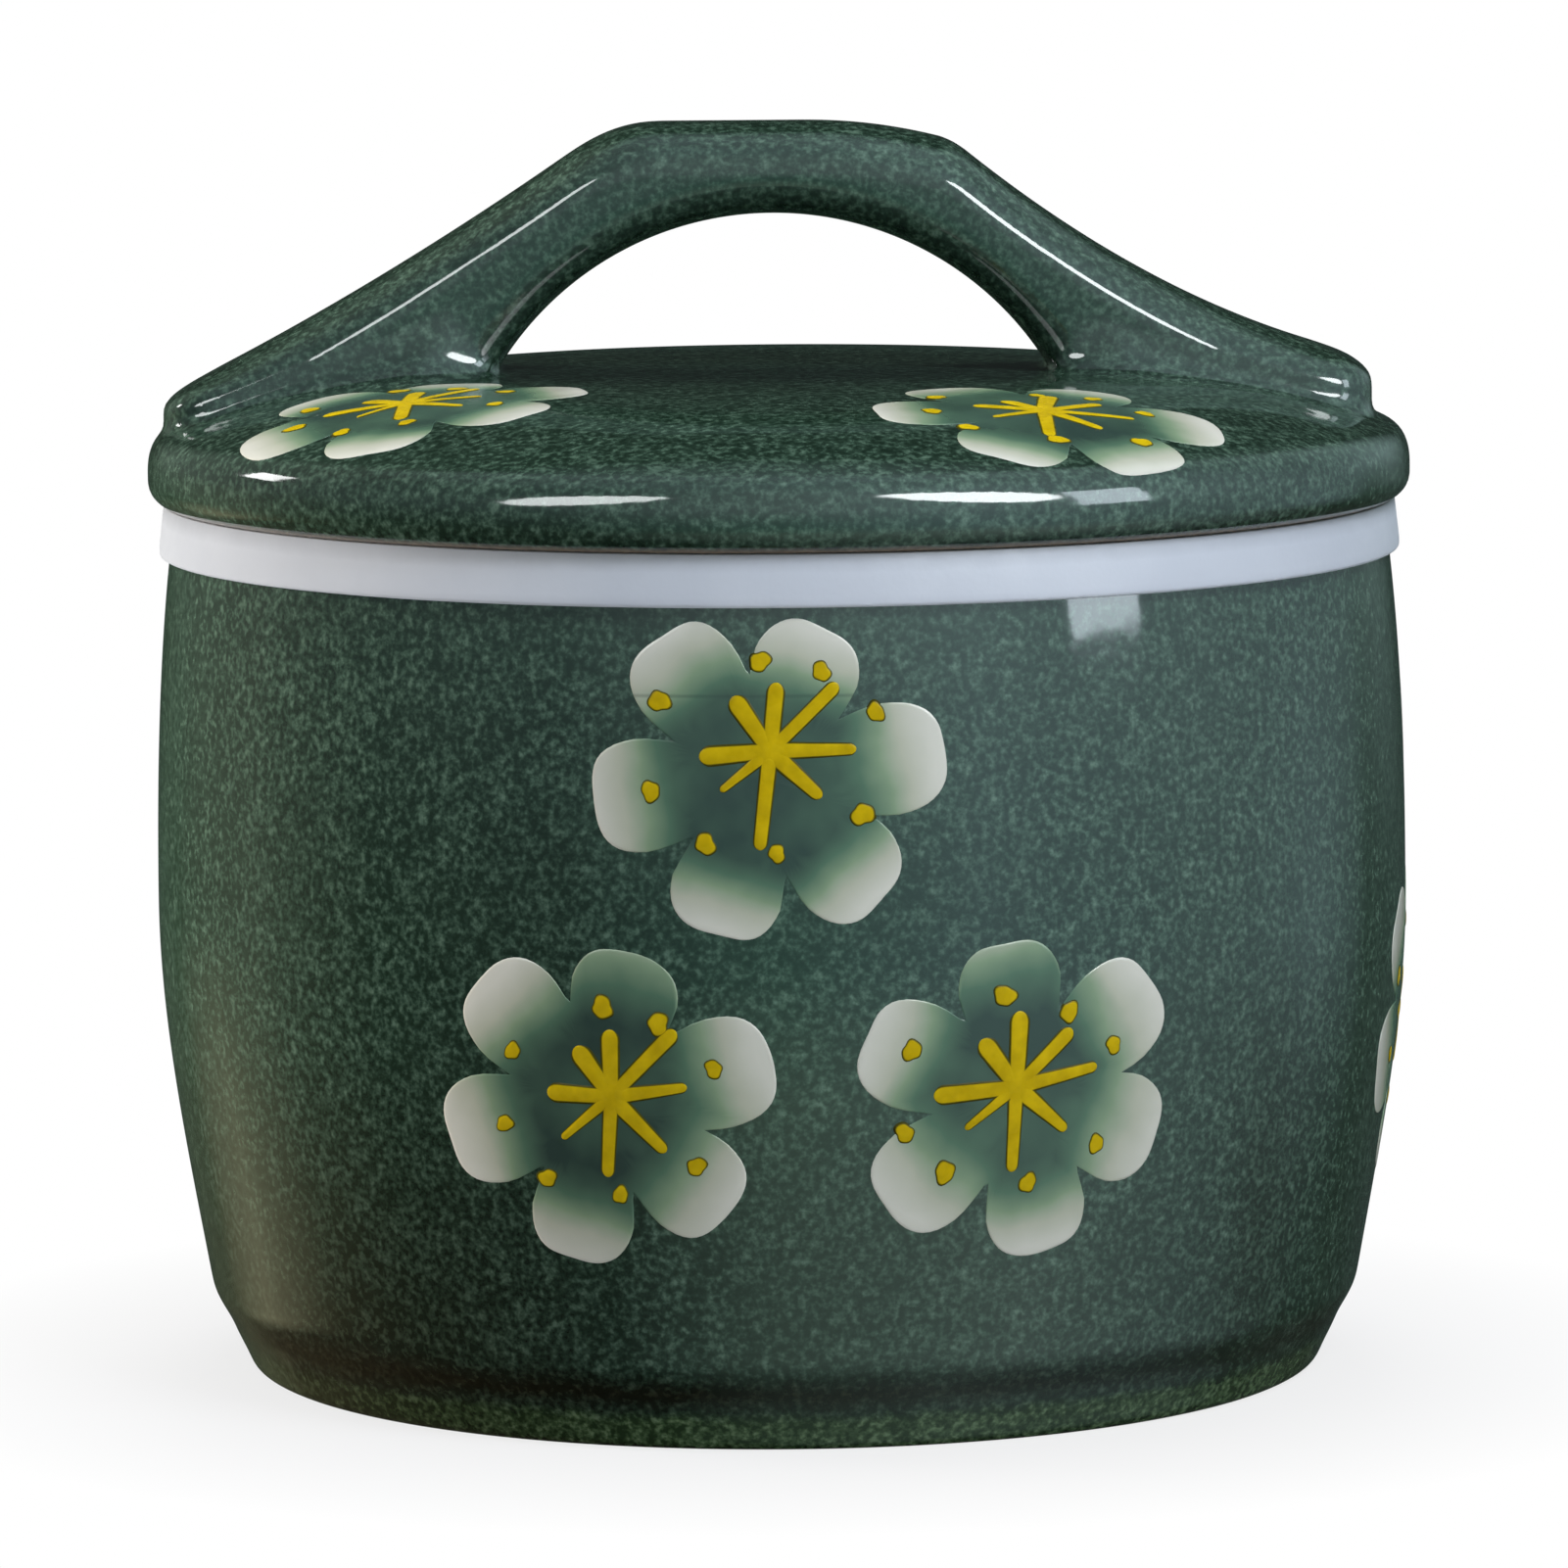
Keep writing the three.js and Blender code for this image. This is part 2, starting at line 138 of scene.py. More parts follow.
# Fineness of the meshes
SIDES = 240
LID_SEED_SIDES = 120
PETAL_SIDES = 180
DROP_SIDES = 28
STROKE_SIDES = 20
WALL_STEPS, ROUND_STEPS, EDGE_STEPS = 28, 14, 8  # points along a curve
VOXEL = 1.2  # of the mesh that the lid starts from
FIELD_STEP = 0.5  # of the grid that holds the distance to the lid's turned part
SEED = 7  # of the small unevenness in the painting

SKIRT_BOTTOM = RIM_HEIGHT - SKIRT_DEPTH
INNER_MOUTH = MOUTH_RADIUS - RIM_WALL
SEAL_RADIUS = MOUTH_RADIUS + SEAL_CLEARANCE + SEAL_THICKNESS
LIP_OUTSIDE = INNER_MOUTH - SEAL_CLEARANCE
LIP_INSIDE = LIP_OUTSIDE - SEAL_THICKNESS
DOME_RADIUS = LID_RADIUS - DOME_INSET
DOME_EDGE_HEIGHT = SEAL_TOP + LID_EDGE_HEIGHT
CROWN_HEIGHT = DOME_EDGE_HEIGHT + DOME_RISE
SPIGOT_OUTSIDE = LIP_INSIDE - SPIGOT_CLEARANCE
TIP_REACH = LID_RADIUS - HANDLE_SETBACK
ARCH_RADIUS = ((FINGER_SPAN / 2) ** 2 + FINGER_HEIGHT ** 2) / (2 * FINGER_HEIGHT)
ARCH_CENTRE = CROWN_HEIGHT + FINGER_HEIGHT - ARCH_RADIUS


# Profiles

def bezier(points, steps):
    """Points along a Bezier curve with these control points."""
    level = np.repeat(np.array(points, float)[:, None, :], steps + 1, axis=1)
    t = np.linspace(0, 1, steps + 1)[None, :, None]
    while len(level) > 1:
        level = level[:-1] * (1 - t) + level[1:] * t
    return level[0]


def soft_line(points, roundings, steps=6):
    """A line of straight stretches whose inner corners are rounded, each by its own length."""
    points = np.array(points, float)
    line = [points[:1]]
    for before, corner, after, rounding in zip(points, points[1:], points[2:], roundings):
        inwards = (before - corner) / np.linalg.norm(before - corner)
        onwards = (after - corner) / np.linalg.norm(after - corner)
        line.append(bezier([corner + rounding * inwards, corner, corner + rounding * onwards], steps))
    line.append(points[-1:])
    return np.vstack(line)


def worn(line, spacing=0.6, rounds=10):
    """A line with its kinks softened, as glaze softens them. Its ends stay in place."""
    keep = np.concatenate([[True], np.any(np.diff(line, axis=0) != 0, axis=1)])
    line = line[keep]
    far = np.concatenate([[0], np.cumsum(np.linalg.norm(np.diff(line, axis=0), axis=1))])
    even = np.linspace(0, far[-1], int(far[-1] / spacing))
    line = np.column_stack([np.interp(even, far, line[:, axis]) for axis in range(2)])
    for _ in range(rounds):
        line[1:-1] = 0.25 * line[:-2] + 0.5 * line[1:-1] + 0.25 * line[2:]
    return line


def jar_wall():
    """The outside of the wall, from the heel up to the rim's edge."""
    lower = BELLY_HEIGHT - HEEL_HEIGHT
    upper = RIM_HEIGHT - BELLY_HEIGHT
    below = bezier([(HEEL_RADIUS, HEEL_HEIGHT),
                    (HEEL_RADIUS + HEEL_FLARE, HEEL_HEIGHT + CURVE_PULL * lower),
                    (BELLY_RADIUS, BELLY_HEIGHT - CURVE_PULL * lower),
                    (BELLY_RADIUS, BELLY_HEIGHT)], WALL_STEPS)
    above = bezier([(BELLY_RADIUS, BELLY_HEIGHT),
                    (BELLY_RADIUS, BELLY_HEIGHT + CURVE_PULL * upper),
                    (MOUTH_RADIUS + SHOULDER_FULLNESS, RIM_HEIGHT - CURVE_PULL * upper),
                    (MOUTH_RADIUS, RIM_HEIGHT - RIM_EDGE)], WALL_STEPS)
    return np.vstack([below, above[1:]])


WALL_LINE = jar_wall()


def wall_radius(height):
    return np.interp(height, WALL_LINE[:, 1], WALL_LINE[:, 0])


def jar_parts():
    """The jar's profile in three parts: the bare base, the glazed outside and the lined inside."""
    side = FOOT_RADIUS - FOOT_TAPER
    stand = side - FOOT_EDGE
    ring_inside = stand - FOOT_RING_WIDTH
    turn = HEEL_HEIGHT - FOOT_HEIGHT
    base = soft_line([(0, FOOT_RECESS), (ring_inside - FOOT_RECESS_SLOPE, FOOT_RECESS), (ring_inside, 0),
                      (stand, 0)], [RECESS_ROUND, RING_ROUND])
    foot = np.vstack([
        bezier([(stand, 0), (side, 0), (side, FOOT_EDGE)], EDGE_STEPS),
        bezier([(side, FOOT_EDGE), (FOOT_RADIUS, FOOT_HEIGHT)], 4),
        bezier([(FOOT_RADIUS, FOOT_HEIGHT),
                (FOOT_RADIUS + FOOT_COVE, FOOT_HEIGHT + CURVE_PULL * turn),
                (HEEL_RADIUS - HEEL_LEAN, HEEL_HEIGHT - CURVE_PULL * turn),
                (HEEL_RADIUS, HEEL_HEIGHT)], ROUND_STEPS),
    ])
    neck_bottom = RIM_HEIGHT - NECK_DEPTH
    corner_top = FLOOR_HEIGHT + FLOOR_CORNER
    corner_radius = wall_radius(corner_top) - WALL
    heights = np.linspace(neck_bottom - NECK_SLOPE, corner_top, 40)
    even = np.column_stack([wall_radius(heights) - WALL, heights])
    rim = soft_line([(MOUTH_RADIUS, RIM_HEIGHT - RIM_EDGE), (MOUTH_RADIUS, RIM_HEIGHT),
                     (INNER_MOUTH, RIM_HEIGHT), (INNER_MOUTH, neck_bottom), even[0]],
                    [RIM_EDGE, RIM_EDGE, NECK_ROUND])
    corner = bezier([even[-1], (corner_radius, FLOOR_HEIGHT),
                     (corner_radius - FLOOR_CORNER, FLOOR_HEIGHT)], ROUND_STEPS)
    floor = np.column_stack([np.linspace(corner[-1, 0], 0, EDGE_STEPS), np.full(EDGE_STEPS, FLOOR_HEIGHT)])
    outside = worn(np.vstack([foot, WALL_LINE]))
    inside = np.vstack([rim, even, corner, floor])
    return [base, outside, inside]


def seal_profile():
    """The ring's section, from the inside of its skirt round the outside and the lip, and back."""
    start = (wall_radius(SKIRT_BOTTOM) + SEAL_CLEARANCE, SKIRT_BOTTOM + SKIRT_STRAIGHT)
    corners = [start, (start[0], SKIRT_BOTTOM), (SKIRT_RADIUS, SKIRT_BOTTOM),
               (SKIRT_RADIUS, SKIRT_BOTTOM + SEAL_THICKNESS), (SEAL_RADIUS, SEAL_TOP),
               (LIP_INSIDE, SEAL_TOP), (LIP_INSIDE, LIP_BOTTOM), (LIP_OUTSIDE, LIP_BOTTOM),
               (LIP_OUTSIDE, RIM_HEIGHT), (MOUTH_RADIUS + SEAL_CLEARANCE, RIM_HEIGHT), start]
    roundings = [*SKIRT_ROUNDS, SEAL_EDGE, SEAL_EDGE, LIP_ROUND, LIP_ROUND, RIM_EDGE, RIM_EDGE]
    return soft_line(corners, roundings, 4)


def dome_height(radius):
    return CROWN_HEIGHT - DOME_RISE * (radius / DOME_RADIUS) ** DOME_POWER


def lid_profile():
    """The lid without its handle, from the middle of its underside out round the edge to its crown."""
    spigot_inside = SPIGOT_OUTSIDE - SPIGOT_WALL
    under_radius = spigot_inside - UNDERSIDE_ROUND
    under_height = dome_height(under_radius) - LID_WALL
    slope = DOME_POWER * DOME_RISE / DOME_RADIUS
    under = np.linspace(0, under_radius, 24)
    over = np.linspace(DOME_RADIUS, 0, 60)
    spigot = soft_line([(spigot_inside, under_height - UNDERSIDE_ROUND), (spigot_inside, SPIGOT_BOTTOM),
                        (SPIGOT_OUTSIDE, SPIGOT_BOTTOM), (SPIGOT_OUTSIDE, SEAL_TOP),
                        (SEAL_RADIUS - SEAL_EDGE, SEAL_TOP)], [SPIGOT_EDGE, SPIGOT_EDGE, SPIGOT_ROOT])
    return np.vstack([
        np.column_stack([under, dome_height(under) - LID_WALL]),
        bezier([(under_radius, under_height), (spigot_inside, under_height),
                (spigot_inside, under_height - UNDERSIDE_ROUND)], ROUND_STEPS),
        spigot,
        bezier([(SEAL_RADIUS - SEAL_EDGE, SEAL_TOP), (LID_RADIUS, SEAL_TOP + LID_UNDER_RISE),
                (LID_RADIUS, SEAL_TOP + LID_LOWER_ROUND)], ROUND_STEPS),
        bezier([(LID_RADIUS, DOME_EDGE_HEIGHT - LID_UPPER_ROUND),
                (LID_RADIUS, DOME_EDGE_HEIGHT - slope * DOME_INSET),
                (DOME_RADIUS, DOME_EDGE_HEIGHT)], ROUND_STEPS),
        np.column_stack([over, dome_height(over)]),
    ])


# Handle, as smooth functions of the place along the strap, measured from its own middle

def side_top(out, side):
    """Height of the top line on one side of the handle, this far out from its middle."""
    crest, bend, drop, hollow, tip, tip_drop = side
    leg = (out - crest - bend) / (TIP_REACH - crest - bend)
    straight = CREST_HEIGHT - drop + leg * (DOME_EDGE_HEIGHT + tip - CREST_HEIGHT + drop)
    bent = CREST_HEIGHT - drop * (np.maximum(out - crest, 0) / bend) ** 2
    to_tip = np.clip((out - TIP_REACH + TIP_ROUND) / TIP_ROUND, 0, 1)
    return np.where(leg > 0, straight - hollow * 4 * leg * (1 - leg) - tip_drop * to_tip ** 4, bent)


def strap_top(along):
    """Height of the strap's top line, with its kinks worn soft."""
    total = 0
    shifts = np.linspace(-KINK_REACH, KINK_REACH, KINK_STEPS)
    for shift in shifts:
        out = np.abs(along + shift)
        total = total + np.where(along + shift < 0, side_top(out, LEFT_SIDE), side_top(out, RIGHT_SIDE))
    return np.minimum(total / len(shifts), CREST_HEIGHT)


def strap_half_width(along):
    out = np.minimum(np.abs(along), TIP_REACH)
    widening = np.maximum(out - FINGER_SPAN / 2, 0) / (TIP_REACH - FINGER_SPAN / 2)
    return BAR_HALF_WIDTH + (TIP_HALF_WIDTH - BAR_HALF_WIDTH) * widening


def strap_crown(along):
    """Height of the rounded back over the strap's two edges."""
    ground = dome_height(np.abs(along + HANDLE_SHIFT))
    return np.minimum(CROWN, CROWN_SHARE * (strap_top(along) - ground))


def strap_fill(along, across, height):
    """Below 0 inside the strap's section and above 0 outside it."""
    crown = strap_crown(along)
    over = np.maximum(height - strap_top(along) + crown, 0) / crown
    aside = np.abs(across) / strap_half_width(along)
    end = np.maximum(np.abs(along) - TIP_REACH + TIP_ROUND, 0) / TIP_ROUND
    plan = (aside ** TIP_PLAN_POWER + end ** TIP_PLAN_POWER) ** (1 / TIP_PLAN_POWER)
    power = CROWN_POWER + TIP_SHARPER * np.minimum(end, 1) ** 2
    return (plan ** power + over ** power) ** (1 / power) - 1


def smooth_max(a, b, reach):
    """The larger of two values, blended where they are within reach of each other."""
    near = np.maximum(reach - np.abs(a - b), 0) / reach
    return np.maximum(a, b) + near * near * reach / 4


def slopes(field, points, step=0.05):
    """Gradient of a field at each point."""
    found = np.empty_like(points)
    for axis in range(3):
        shift = np.zeros(3)
        shift[axis] = step
        found[:, axis] = (field(points + shift) - field(points - shift)) / (2 * step)
    return found


def arch_gap(points):
    """Distance to the arch's underside, below 0 in the opening."""
    local = points - np.array([HANDLE_SHIFT, 0, 0])
    return np.hypot(local[:, 0] - ARCH_SHIFT, local[:, 2] - ARCH_CENTRE) - ARCH_RADIUS


def handle_field(points):
    """About the distance to the handle's surface, below 0 inside it."""
    local = points - np.array([HANDLE_SHIFT, 0, 0])

    def fill(p):
        return strap_fill(p[:, 0], p[:, 1], p[:, 2])

    slope = slopes(fill, local)
    steep = np.maximum(np.linalg.norm(slope, axis=1), 1e-3)
    distance = np.clip(fill(local) / steep, -30, 60)
    distance = smooth_max(distance, -arch_gap(points), ARCH_EDGE)
    root = dome_height(np.hypot(points[:, 0], points[:, 1])) - ROOT_SINK
    return np.maximum(distance, root - points[:, 2])


def turned_field(profile):
    """A function that gives the distance to the surface of a turned body, below 0 inside it."""
    radii = np.arange(0, LID_RADIUS + 20, FIELD_STEP)
    heights = np.arange(profile[:, 1].min() - 8, CREST_HEIGHT + 10, FIELD_STEP)
    r, z = np.meshgrid(radii, heights, indexing="ij")
    nearest = np.full(r.shape, np.inf)
    inside = np.zeros(r.shape, bool)
    for (r0, z0), (r1, z1) in zip(profile, np.roll(profile, -1, axis=0)):
        along = np.array([r1 - r0, z1 - z0])
        length = along @ along
        if length == 0:
            continue
        if r0 > 0 or r1 > 0:
            t = np.clip(((r - r0) * along[0] + (z - z0) * along[1]) / length, 0, 1)
            nearest = np.minimum(nearest, np.hypot(r - r0 - t * along[0], z - z0 - t * along[1]))
        if z0 != z1:
            crossing = (z0 > z) != (z1 > z)
            inside ^= crossing & (r < r0 + (z - z0) * along[0] / along[1])
    table = np.where(inside, -nearest, nearest)

    def field(points):
        a = np.clip(np.hypot(points[:, 0], points[:, 1]) / FIELD_STEP, 0, len(radii) - 1.001)
        b = np.clip((points[:, 2] - heights[0]) / FIELD_STEP, 0, len(heights) - 1.001)
        i, j = a.astype(int), b.astype(int)
        u, v = a - i, b - j
        low = table[i, j] * (1 - v) + table[i, j + 1] * v
        high = table[i + 1, j] * (1 - v) + table[i + 1, j + 1] * v
        return low * (1 - u) + high * u

    return field


dome_field = turned_field(lid_profile())


def lid_field(points):
    """Distance to lid and handle as one body, with a soft hollow where they meet."""
    depth = -dome_field(points)
    close = np.abs(points[:, 1]) < TIP_HALF_WIDTH + FILLET
    near = points[close]
    rise = strap_top(near[:, 0] - HANDLE_SHIFT) - dome_height(np.hypot(near[:, 0], near[:, 1]))
    reach = FILLET * np.clip((rise - FILLET_FROM) / (FILLET_FULL - FILLET_FROM), FILLET_LEAST, 1)
    reach = ARCH_FILLET + (reach - ARCH_FILLET) * np.clip(arch_gap(near) / ARCH_CLEAR, 0, 1)
    depth[close] = smooth_max(depth[close], -handle_field(near), reach)
    return LID_INSET - depth


def settled(points, field, rounds=6):
    """The points moved onto the field's surface."""
    for _ in range(rounds):
        slope = slopes(field, points)
        size = np.maximum((slope ** 2).sum(axis=1), 0.05)
        step = np.clip(field(points), -2, 2) / size
        points = points - step[:, None] * slope
    return points


def evened(points, edges, field, rounds=4):
    """The points spread evenly over the field's surface."""
    ends = np.concatenate([edges, edges[:, ::-1]])
    count = np.bincount(ends[:, 0], minlength=len(points))
    for _ in range(rounds):
        middle = np.column_stack([np.bincount(ends[:, 0], points[ends[:, 1], axis], len(points)) / count
                                  for axis in range(3)])
        points = settled(0.5 * (points + middle), field, 2)
    return points


# Meshes

def made_object(name, points, faces, materials=()):
    mesh = bpy.data.meshes.new(name)
    mesh.from_pydata((np.asarray(points) / MM).tolist(), [], faces)
    for material in materials:
        mesh.materials.append(material)
    mesh.shade_smooth()
    made = bpy.data.objects.new(name, mesh)
    bpy.context.scene.collection.objects.link(made)
    return made


def tidy_mesh(mesh):
    """Merge points that coincide and turn all faces outwards."""
    work = bmesh.new()
    work.from_mesh(mesh)
    bmesh.ops.remove_doubles(work, verts=work.verts, dist=1e-6)
    bmesh.ops.dissolve_degenerate(work, edges=work.edges, dist=1e-7)
    bmesh.ops.recalc_face_normals(work, faces=work.faces)
    work.to_mesh(mesh)
    work.free()


def band_faces(rings, sides):
    """Faces of the bands between rings of points."""
    faces = []
    for ring in range(rings - 1):
        for i in range(sides):
            j = (i + 1) % sides
            faces.append((ring * sides + i, ring * sides + j,
                          (ring + 1) * sides + j, (ring + 1) * sides + i))
    return faces


def ring_faces(rings, sides):
    """Faces of a closed skin over rings of points: a cap at each end, and the bands between."""
    caps = [tuple(range(sides))[::-1], tuple(range((rings - 1) * sides, rings * sides))]
    return caps + band_faces(rings, sides)


def turned(name, parts, materials, sides=SIDES):
    """A body turned about Z. Each part of its profile has the material of the same place in the list."""
    profile = np.vstack(parts)
    zones = np.concatenate([np.full(len(part), zone) for zone, part in enumerate(parts)])
    angles = np.linspace(0, 2 * np.pi, sides, endpoint=False)
    circle = np.column_stack([np.sin(angles), -np.cos(angles)])
    points = np.concatenate([np.column_stack([radius * circle, np.full(sides, height)])
                             for radius, height in profile])
    made = made_object(name, points, band_faces(len(profile), sides), materials)
    made.data.polygons.foreach_set("material_index", np.repeat(zones[:-1], sides).astype(np.int32))
    tidy_mesh(made.data)
    made.data.shade_smooth()
    return made


def strap_seed():
    """A rough strap that the lid's mesh starts from."""
    stations = np.linspace(-TIP_REACH, TIP_REACH, 81)
    turns = np.linspace(0, np.pi, 7)
    rings = []
    for along in stations:
        width, top, crown = strap_half_width(along), strap_top(along), strap_crown(along)
        arch = ARCH_RADIUS ** 2 - (along - ARCH_SHIFT) ** 2
        bottom = dome_height(abs(along + HANDLE_SHIFT)) - ROOT_SINK
        bottom = max(bottom, ARCH_CENTRE + math.sqrt(arch)) if arch > 0 else bottom
        across = np.concatenate([[width], width * np.cos(turns), [-width]])
        height = np.concatenate([[bottom], top - crown + crown * np.sin(turns), [bottom]])
        rings.append(np.column_stack([np.full(len(across), along + HANDLE_SHIFT), across, height]))
    seed = made_object("strap_seed", np.concatenate(rings), ring_faces(len(rings), len(rings[0])))
    tidy_mesh(seed.data)
    return seed


def lid_mesh(materials):
    """Lid and handle as one even mesh, whose points all lie on the smooth body."""
    seed = turned("lid_seed", [lid_profile()], [], LID_SEED_SIDES)
    strap = strap_seed()
    with bpy.context.temp_override(active_object=seed, selected_editable_objects=[seed, strap]):
        bpy.ops.object.join()
    remesh = seed.modifiers.new("even", "REMESH")
    remesh.mode = "VOXEL"
    remesh.voxel_size = VOXEL / MM
    evaluated = seed.evaluated_get(bpy.context.evaluated_depsgraph_get())
    mesh = bpy.data.meshes.new_from_object(evaluated)
    points = np.empty(len(mesh.vertices) * 3)
    mesh.vertices.foreach_get("co", points)
    edges = np.empty(len(mesh.edges) * 2, np.int32)
    mesh.edges.foreach_get("vertices", edges)
    points = settled(MM * points.reshape(-1, 3), lid_field)
    points = evened(points, edges.reshape(-1, 2), lid_field)
    faces = [tuple(face.vertices) for face in mesh.polygons]
    bpy.data.objects.remove(seed)
    made = made_object("lid_glazed", points, faces, materials)
    zones = []
    for face in made.data.polygons:
        radius = MM * math.hypot(face.center.x, face.center.y)
        height = MM * face.center.z
        under = radius < SPIGOT_OUTSIDE + LINER_MARGIN and height < dome_height(radius) - LID_WALL / 2
        seat = height < SEAL_TOP + SEAT_RISE and radius < SEAL_RADIUS - SEAT_MARGIN
        zones.append(1 if under else 2 if seat else 0)
    made.data.polygons.foreach_set("material_index", np.array(zones, np.int32))
    return made


# Blossoms, drawn flat in millimetres and laid on the jar's wall or on the lid

def on_wall(azimuth, height):
    """A function that lays flat points, lifted off by their own amounts, on the jar's wall."""
    def place(flat, lift):
        z = height + flat[:, 1]
        lean = wall_radius(z + 0.5) - wall_radius(z - 0.5)
        upright = 1 / np.hypot(1, lean)
        radius = wall_radius(z) + lift * upright
        angle = math.radians(azimuth) + flat[:, 0] / wall_radius(height)
        return np.column_stack([radius * np.sin(angle), -radius * np.cos(angle), z - lift * lean * upright])

    return place


def on_lid(x, y):
    """A function that lays flat points on the top of the lid."""
    def place(flat, lift):
        plan = np.array([x, y]) + flat
        start = np.column_stack([plan, dome_height(np.minimum(np.hypot(*plan.T), DOME_RADIUS))])
        base = settled(start, lid_field)
        slope = slopes(lid_field, base)
        return base + lift[:, None] * slope / np.linalg.norm(slope, axis=1)[:, None]

    return place


def petal_reach(angles):
    """How far the petals reach from the middle of the flower in each direction."""
    steps = np.arange(CORE_RADIUS, max(PETAL_REACHES), 0.02)
    reach = np.full(len(angles), CORE_RADIUS)
    width = PETAL_WAIST + (1 - PETAL_WAIST) * np.clip((steps - WAIST_FROM) / (WAIST_TO - WAIST_FROM), 0, 1)
    for turn, end in zip(PETAL_TURNS, PETAL_REACHES):
        away = angles - math.radians(turn)
        along = np.abs(np.cos(away)[:, None] * steps - end + PETAL_HALF_LENGTH) / PETAL_HALF_LENGTH
        aside = np.abs(np.sin(away)[:, None] * steps) / (PETAL_HALF_WIDTH * width)
        inside = along ** PETAL_POWER + aside ** PETAL_POWER < 1
        reach = np.maximum(reach, np.where(inside, steps, 0).max(axis=1))
    return reach


def petals(place, turn, depths, draw):
    """The six petals as one thin raised shell. Each whitens towards its end over its own depth."""
    angles = np.linspace(0, 2 * np.pi, PETAL_SIDES, endpoint=False)
    reach = petal_reach(angles)
    for waves in PETAL_WAVES:
        reach = reach + PETAL_WAVE / waves * np.sin(waves * angles + draw.uniform(0, ANY_PHASE))
    shares = np.array([0.02, 0.2, 0.4, 0.52, 0.62, 0.7, 0.77, 0.83, 0.88, 0.92, 0.955, 0.98, 0.993, 1.0])
    lifts = np.full(len(shares) + 1, PETAL_LIFT)
    lifts[-4:] = (0.85 * PETAL_LIFT, 0.5 * PETAL_LIFT, -0.4 * PETAL_LIFT, -PAINT_SINK)
    far = np.concatenate([share * reach for share in (*shares, 0.98)])
    around = np.tile(angles, len(shares) + 1)
    lift = np.repeat(lifts, PETAL_SIDES)
    fade = np.zeros(len(far))
    for at, end, depth in zip(PETAL_TURNS, PETAL_REACHES, depths):
        away = around - math.radians(at)
        inward = (end - far * np.cos(away)) / max(depth, WHITE_DEPTH)
        fade = np.maximum(fade, min(1, depth / WHITE_DEPTH) * (1 - inward))
    edge = np.tile(reach, len(shares) + 1)
    pale = PALE_EDGE * np.clip((edge - PALE_FROM) / PALE_RAMP, 0, 1)
    fade = np.maximum(fade, pale * (1 - (edge - far) / PALE_WIDTH))
    turned_by = around + math.radians(turn)
    points = place(np.column_stack([far * np.cos(turned_by), far * np.sin(turned_by)]), lift)
    return points, ring_faces(len(shares) + 1, PETAL_SIDES), fade


def stroke(place, start, direction, length, width_in, width_out):
    """A raised brush stroke with round ends. Its painted edge shade runs from 0 on its back to 1 at its
    edges.
    """
    along = np.array([math.cos(math.radians(direction)), math.sin(math.radians(direction))])
    across = np.array([-along[1], along[0]])
    round_end = min(0.5, 0.5 * width_out / length)
    stations = np.concatenate([np.linspace(0, 1 - round_end, 9)[:-1],
                               1 - round_end * (1 - np.sin(np.linspace(0, np.pi / 2, 6)))])
    turns = np.linspace(0, 2 * np.pi, STROKE_SIDES, endpoint=False)
    dark = (np.abs(np.cos(turns)) - STROKE_DARK_FROM) / (STROKE_DARK_FULL - STROKE_DARK_FROM)
    flat, lift, shade = [], [], []
    for t in stations:
        into_end = max(0.0, (t - 1 + round_end) / round_end)
        full = math.sqrt(max(0.0, 1 - into_end ** 2))
        half = 0.5 * (width_in + (width_out - width_in) * t) * full
        rise = np.where(np.sin(turns) > 0, STAMEN_LIFT, PAINT_SINK) * np.sin(turns) * (0.35 + 0.65 * full)
        flat.append(np.array(start) + length * t * along + half * np.cos(turns)[:, None] * across)
        lift.append(rise)
        shade.append(np.clip(dark, 0, 1))
    faces = ring_faces(len(stations), len(turns))
    return place(np.concatenate(flat), np.concatenate(lift)), faces, np.concatenate(shade)


def drop(place, middle, size, draw):
    """A raised drop of enamel with an uneven outline. Its shade runs as a stroke's does."""
    angles = np.linspace(0, 2 * np.pi, DROP_SIDES, endpoint=False)
    reach = np.full(DROP_SIDES, 0.5 * size)
    for waves in DROP_WAVES:
        swing = np.sin(waves * angles + draw.uniform(0, ANY_PHASE))
        reach = reach * (1 + DROP_WAVE / (waves + 0.5) * swing)
    shares = (0.1, 0.5, 0.72, 0.85, 1.0, 0.9)
    lifts = np.array([1.05, 1.0, 0.85, 0.65, 0.0, -PAINT_SINK / STAMEN_LIFT]) * STAMEN_LIFT
    far = np.concatenate([share * reach for share in shares])
    around = np.tile(angles, len(shares))
    flat = np.array(middle) + np.column_stack([far * np.cos(around), far * np.sin(around)])
    points = place(flat, np.repeat(lifts, DROP_SIDES))
    return points, ring_faces(len(shares), DROP_SIDES), np.repeat((0, 0, 0.45, 0.85, 1, 1), DROP_SIDES)


def stamens(place, hub, draw):
    """The strokes and drops in the middle of a flower, each a little off its rule."""
    made = [drop(place, hub, HUB_SIZE, draw)]
    for direction, length, width_in, width_out in STAMENS:
        made.append(stroke(place, hub, direction + draw.uniform(-6, 6), length * draw.uniform(0.88, 1.14),
                           width_in, width_out * draw.uniform(0.88, 1.1)))
    for direction, distance in DOTS:
        a = math.radians(direction + draw.uniform(-4, 4))
        out = distance * draw.uniform(0.95, 1.05)
        made.append(drop(place, (hub[0] + out * math.cos(a), hub[1] + out * math.sin(a)),
                         DOT_SIZE * draw.uniform(0.88, 1.15), draw))
    return made


